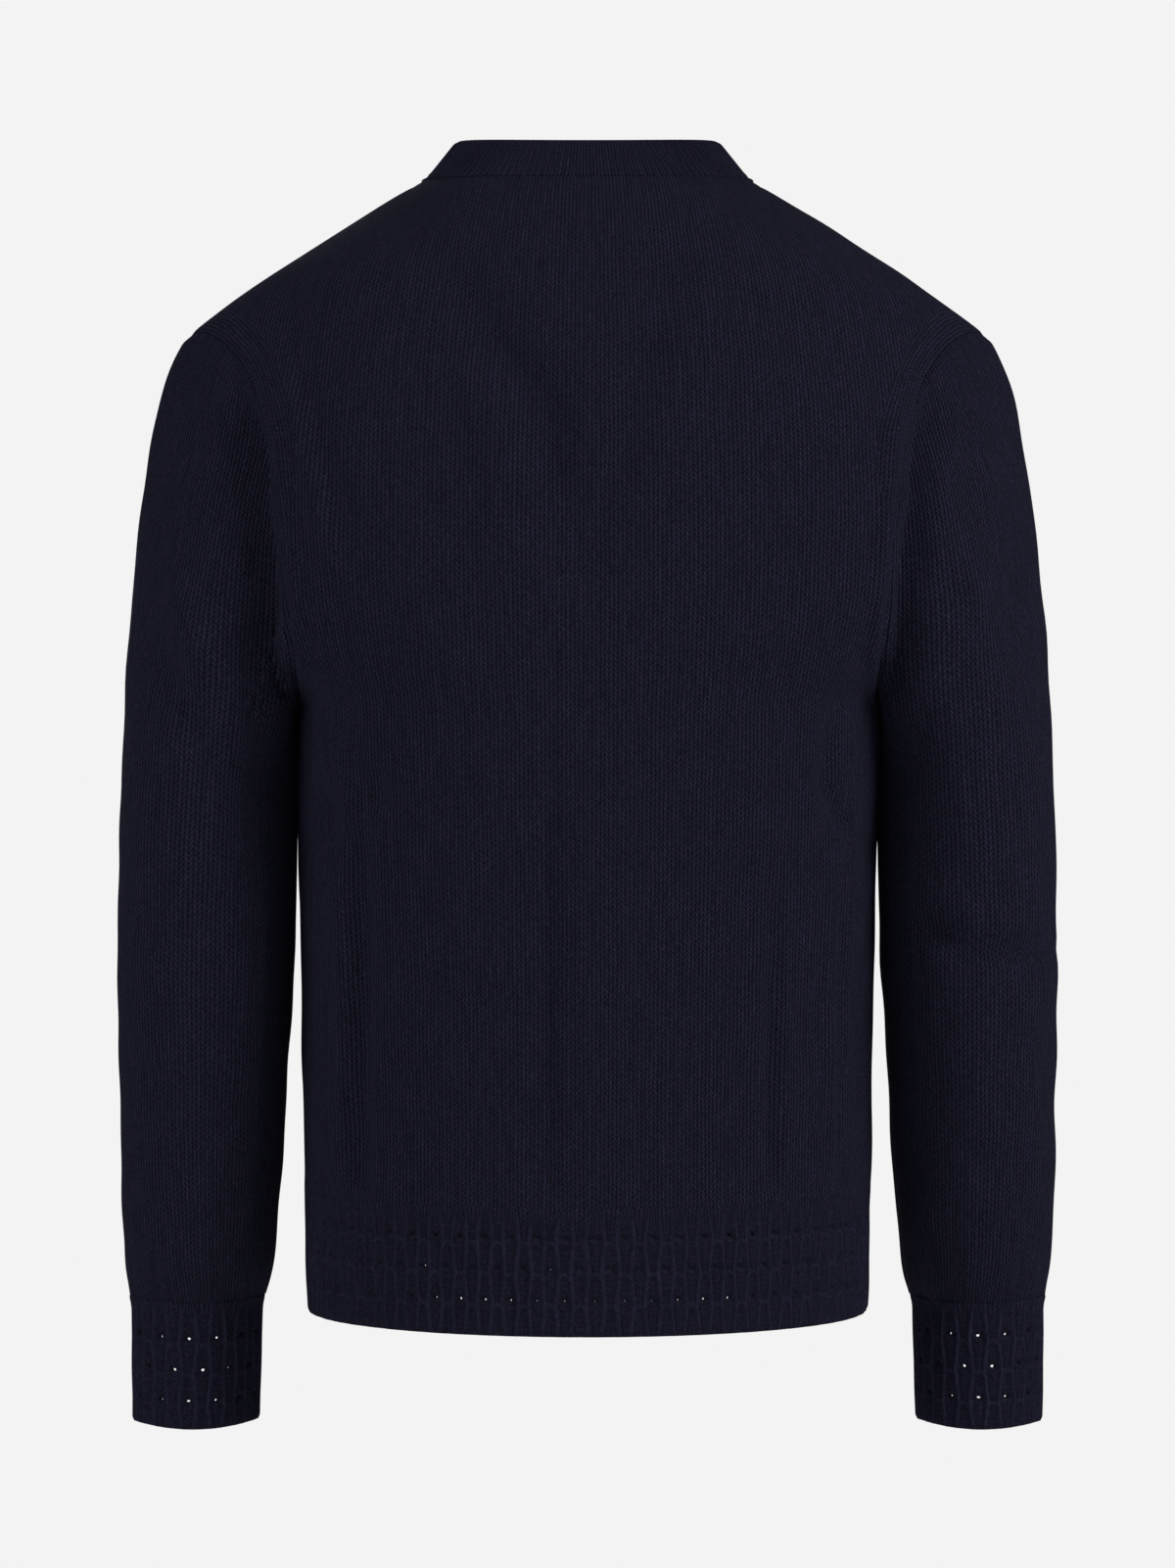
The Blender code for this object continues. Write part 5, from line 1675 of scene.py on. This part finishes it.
@dataclass
class Button:
    """A four-hole button with a rounded rim and a dished face, sewn on with thread."""
    node: str
    horn: Material
    thread: Material
    steps: int = 64
    hole_spacing: float = 0.0036
    hole_radius: float = 0.0009
    rim: float = 0.0026
    dish: float = 0.0009
    waist: float = 0.45  # level of the widest place, as a share of the thickness
    bend: float = 0.55  # how wide the rim's curve is, as a share of the rim
    strand_radius: float = 0.00024
    strand_gap: float = 0.00042
    strand_bury: float = 0.0008  # how far a strand's ends lie below the button's face
    shank: float = 0.0052  # how far the thread leads down, through the upper band into the lower
    shank_radius: float = 0.0007
    hole_left: float = 0.0005  # how far below the button's face the thread fills its holes

    def place(self) -> tuple[Matrix, float, float]:
        """Return where the button lies, facing out, and its radius and thickness."""
        points = np.array([vertex.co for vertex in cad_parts[self.node].data.vertices])
        centre = (points.max(axis=0) + points.min(axis=0)) / 2
        way = np.linalg.svd(points - points.mean(axis=0), full_matrices=False)[2][2]
        out = Vector(way if way[1] < 0 else -way)
        along = (points - centre) @ np.array(out)
        radius = float((points[:, 0].max() - points[:, 0].min()) / 2)
        turn = out.to_track_quat("Z", "Y").to_matrix().to_4x4()
        back = Vector(centre) + out * float(along.min())
        return Matrix.Translation(back) @ turn, radius, float(along.max() - along.min())

    def profile(self, radius: float, thickness: float) -> list[tuple[float, float]]:
        """Return half the button's outline, from the middle of its face to the middle of its back.

        Args:
            radius: The button's radius.
            thickness: Its thickness at the rim.

        Returns:
            Distances from its axis, with the heights above its back.
        """
        low, inner, bend = thickness - self.dish, radius - self.rim, self.rim * self.bend
        line = [(0.0, low), (inner, low)]
        for share in (0.25, 0.5, 0.75, 1.0):
            line.append((inner + self.rim * (1 - self.bend) * share,
                         low + self.dish * math.sin(share * math.pi / 2)))
        for step in range(1, 9):
            turn = math.pi / 2 * step / 8
            line.append((radius - bend + bend * math.sin(turn),
                         thickness * (self.waist + (1 - self.waist) * math.cos(turn))))
        for step in range(1, 7):
            turn = math.pi / 2 * step / 6
            line.append((radius - bend + bend * math.cos(turn),
                         thickness * self.waist * (1 - math.sin(turn))))
        return [*line, (0.0, 0.0)]

    def build(self) -> Object:
        """Make the button and its thread."""
        place, radius, thickness = self.place()
        bm = bmesh.new()
        points = [bm.verts.new((x, 0.0, z)) for x, z in self.profile(radius, thickness)]
        edges = [bm.edges.new(pair) for pair in zip(points, points[1:])]
        bmesh.ops.spin(bm, geom=points + edges, cent=(0, 0, 0), axis=(0, 0, 1), angle=2 * math.pi,
                       steps=self.steps, use_merge=True)
        bmesh.ops.remove_doubles(bm, verts=bm.verts, dist=MERGE)
        bmesh.ops.recalc_face_normals(bm, faces=bm.faces)
        button = self.finish(self.node + "_horn", bm, Matrix.Identity(4), self.horn)
        drill = bmesh.new()
        for x in (-0.5, 0.5):
            for y in (-0.5, 0.5):
                at = Matrix.Translation((x * self.hole_spacing, y * self.hole_spacing, thickness / 2))
                bmesh.ops.create_cone(drill, cap_ends=True, segments=16, radius1=self.hole_radius,
                                      radius2=self.hole_radius, depth=thickness * 2, matrix=at)
        cutter = self.finish("drill", drill, Matrix.Identity(4), self.horn)
        cut = button.modifiers.new("Holes", "BOOLEAN")
        cut.object = cutter
        bpy.context.view_layer.update()
        drilled = bpy.data.meshes.new_from_object(button.evaluated_get(bpy.context.evaluated_depsgraph_get()))
        button.modifiers.clear()
        button.data = drilled
        bpy.data.objects.remove(cutter)
        drilled.transform(place)
        drilled.shade_smooth()
        drilled.set_sharp_from_angle(angle=math.radians(38))
        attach(button, BODY)
        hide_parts(self.node)
        self.sew_on(place, thickness - self.dish)
        log.info("%s: %d faces", self.node, len(drilled.polygons))
        return button

    def sew_on(self, place: Matrix, level: float) -> Object:
        """Lay two stitches of three strands across the button's holes, and lead them down into the bands.

        Args:
            place: Where the button lies.
            level: Height of the button's dished face above its back.
        """
        bm = bmesh.new()
        top = level - self.hole_left
        for y in (-0.5, 0.5):
            for strand in (-1, 0, 1):
                self.strand(bm, y * self.hole_spacing + strand * self.strand_gap, level, abs(strand))
            for x in (-0.5, 0.5):
                at = Matrix.Translation((x * self.hole_spacing, y * self.hole_spacing,
                                         (top - self.shank) / 2))
                bmesh.ops.create_cone(bm, cap_ends=True, segments=10, radius1=self.shank_radius,
                                      radius2=self.shank_radius, depth=top + self.shank, matrix=at)
        thread = self.finish(self.node + "_thread", bm, place, self.thread)
        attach(thread, BODY)
        return thread

    def strand(self, bm: BMesh, y: float, level: float, low: int) -> None:
        """Bend one strand from hole to hole, by turning a thin ring of points along an arc.

        Args:
            bm: The thread, to which it is added.
            y: Where it lies across the button.
            level: Height of the button's dished face above its back.
            low: 1 for a strand that lies lower than the middle one, otherwise 0.
        """
        radius, half, sides, steps = self.strand_radius, self.hole_spacing / 2, 8, 12
        rise = 0.0007 - 0.00015 * low
        made = bmesh.ops.create_grid(bm, x_segments=steps, y_segments=sides, size=1.0)
        for index, vertex in enumerate(made["verts"]):
            step, turn = index % (steps + 1), 2 * math.pi * (index // (steps + 1)) / sides
            along = math.pi * step / steps
            swell = radius * math.sin(turn)
            vertex.co = (-(half + swell * 0.6) * math.cos(along), y + radius * math.cos(turn),
                         level - self.strand_bury
                         + (rise + self.strand_bury + swell) * math.sin(along) ** 0.5)
        bmesh.ops.remove_doubles(bm, verts=made["verts"], dist=0.000001)
        bmesh.ops.holes_fill(bm, edges=[edge for edge in bm.edges if edge.is_boundary])
        bmesh.ops.recalc_face_normals(bm, faces=bm.faces)

    def finish(self, name: str, bm: BMesh, place: Matrix, material: Material) -> Object:
        """Turn a bmesh to an object, placed in its mesh."""
        made = add_object(name, bm, material)
        made.data.transform(place)
        made.data.shade_smooth()
        return made


# ----------------------------------------------------------------------
# Studio


class Lamp(NamedTuple):
    """A soft square light that looks at the middle of the garment."""
    name: str
    place: tuple[float, float, float]
    size: float
    power: float


@dataclass(frozen=True)
class Studio:
    """A pale backdrop and floor, soft lamps all round, and a level camera behind the wearer.

    The strongest lamp stands behind the wearer's right shoulder, and the weaker ones fill its shadows.
    """
    lamps: tuple[Lamp, ...] = (
        Lamp("key", (-2.35, 1.36, 0.8), 1.3, 27.0),
        Lamp("side", (-2.6, 0.95, 0.7), 1.2, 4.0),
        Lamp("high", (-1.6, 1.6, 1.9), 1.4, 6.5),
        Lamp("fill", (2.5, 1.2, 0.3), 1.4, 17.0),
        Lamp("left", (1.8, 2.15, 0.5), 1.4, 4.0),
        Lamp("behind", (0.0, 2.9, 0.2), 2.0, 5.5),
        Lamp("front", (0.6, -2.6, 0.9), 1.8, 18.0),
    )
    camera_distance: float = 2.2
    camera_level: float = -0.3436
    picture_height: float = 0.8966  # height of the picture at the wearer's middle
    backdrop: float = 0.896
    ambient: float = 0.05
    floor_level: float = -1.45

    def build(self) -> None:
        """Set the stage."""
        scene = bpy.context.scene
        scene.view_settings.view_transform = "Standard"
        lens = bpy.data.cameras.new("camera")
        lens.sensor_fit = "VERTICAL"
        lens.angle = 2 * math.atan(self.picture_height / 2 / self.camera_distance)
        camera = bpy.data.objects.new("camera", lens)
        camera.location = (0.0, self.camera_distance, self.camera_level)
        camera.rotation_euler = (math.pi / 2, 0.0, math.pi)
        scene.collection.objects.link(camera)
        scene.camera = camera
        for lamp in self.lamps:
            self.light(lamp)
        world = bpy.data.worlds.new("studio")
        scene.world = world
        world.use_nodes = True
        tree = world.node_tree
        tree.nodes.clear()
        seen = add_node(tree, "ShaderNodeLightPath").outputs["Is Camera Ray"]
        level = add_node(tree, "ShaderNodeMapRange", {"Value": seen, "To Min": self.ambient,
                                                      "To Max": self.backdrop})
        glow = add_node(tree, "ShaderNodeBackground", {"Color": (1.0, 1.0, 1.0, 1.0),
                                                       "Strength": level.outputs["Result"]})
        add_node(tree, "ShaderNodeOutputWorld", {"Surface": glow.outputs["Background"]})
        self.floor()

    def light(self, lamp: Lamp) -> None:
        """Add a light."""
        light = bpy.data.lights.new(lamp.name, "AREA")
        light.size = lamp.size
        light.energy = lamp.power
        made = bpy.data.objects.new(lamp.name, light)
        made.location = lamp.place
        aim = Vector((0.0, 0.0, self.camera_level)) - Vector(lamp.place)
        made.rotation_euler = aim.to_track_quat("-Z", "Y").to_euler()
        bpy.context.scene.collection.objects.link(made)

    def floor(self) -> None:
        """Lay a plain pale floor at the wearer's feet."""
        bm = bmesh.new()
        bmesh.ops.create_grid(bm, x_segments=1, y_segments=1, size=1.4,
                              matrix=Matrix.Translation((0.0, 0.0, self.floor_level)))
        material = bpy.data.materials.new("Matt studio paper")
        material.use_nodes = True
        shader = material.node_tree.nodes["Principled BSDF"]
        shader.inputs["Base Color"].default_value = linear("#f0f0f0")
        shader.inputs["Roughness"].default_value = 0.95
        add_object("floor", bm, material)


def main() -> None:
    """Build the cardigan and the studio."""
    Studio().build()
    reverse = Knitting("Lambswool, reverse stockinette", is_reverse=True).material()
    plain = Knitting("Lambswool, stockinette").material()
    ribbed = Knitting("Lambswool, rib").material()
    body = Body(plain, reverse)
    body.build_back()
    for side in Side:
        body.build_front(side)
        body.build_sleeve(side)
        Cuff(side, ribbed, reverse).build()
    HemBand(ribbed, reverse).build()
    Neckband(ribbed, reverse).build()
    OpeningBand(Side.LEFT, "buttonhole_band", ribbed, reverse).build()
    OpeningBand(Side.RIGHT, "button_band", ribbed, reverse).build()
    horn, thread = Horn().material(), Thread().material()
    for node in sorted(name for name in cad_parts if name.startswith("button_") and name[-1].isdigit()):
        Button(node, horn, thread).build()


if __name__ == "__main__":
    main()
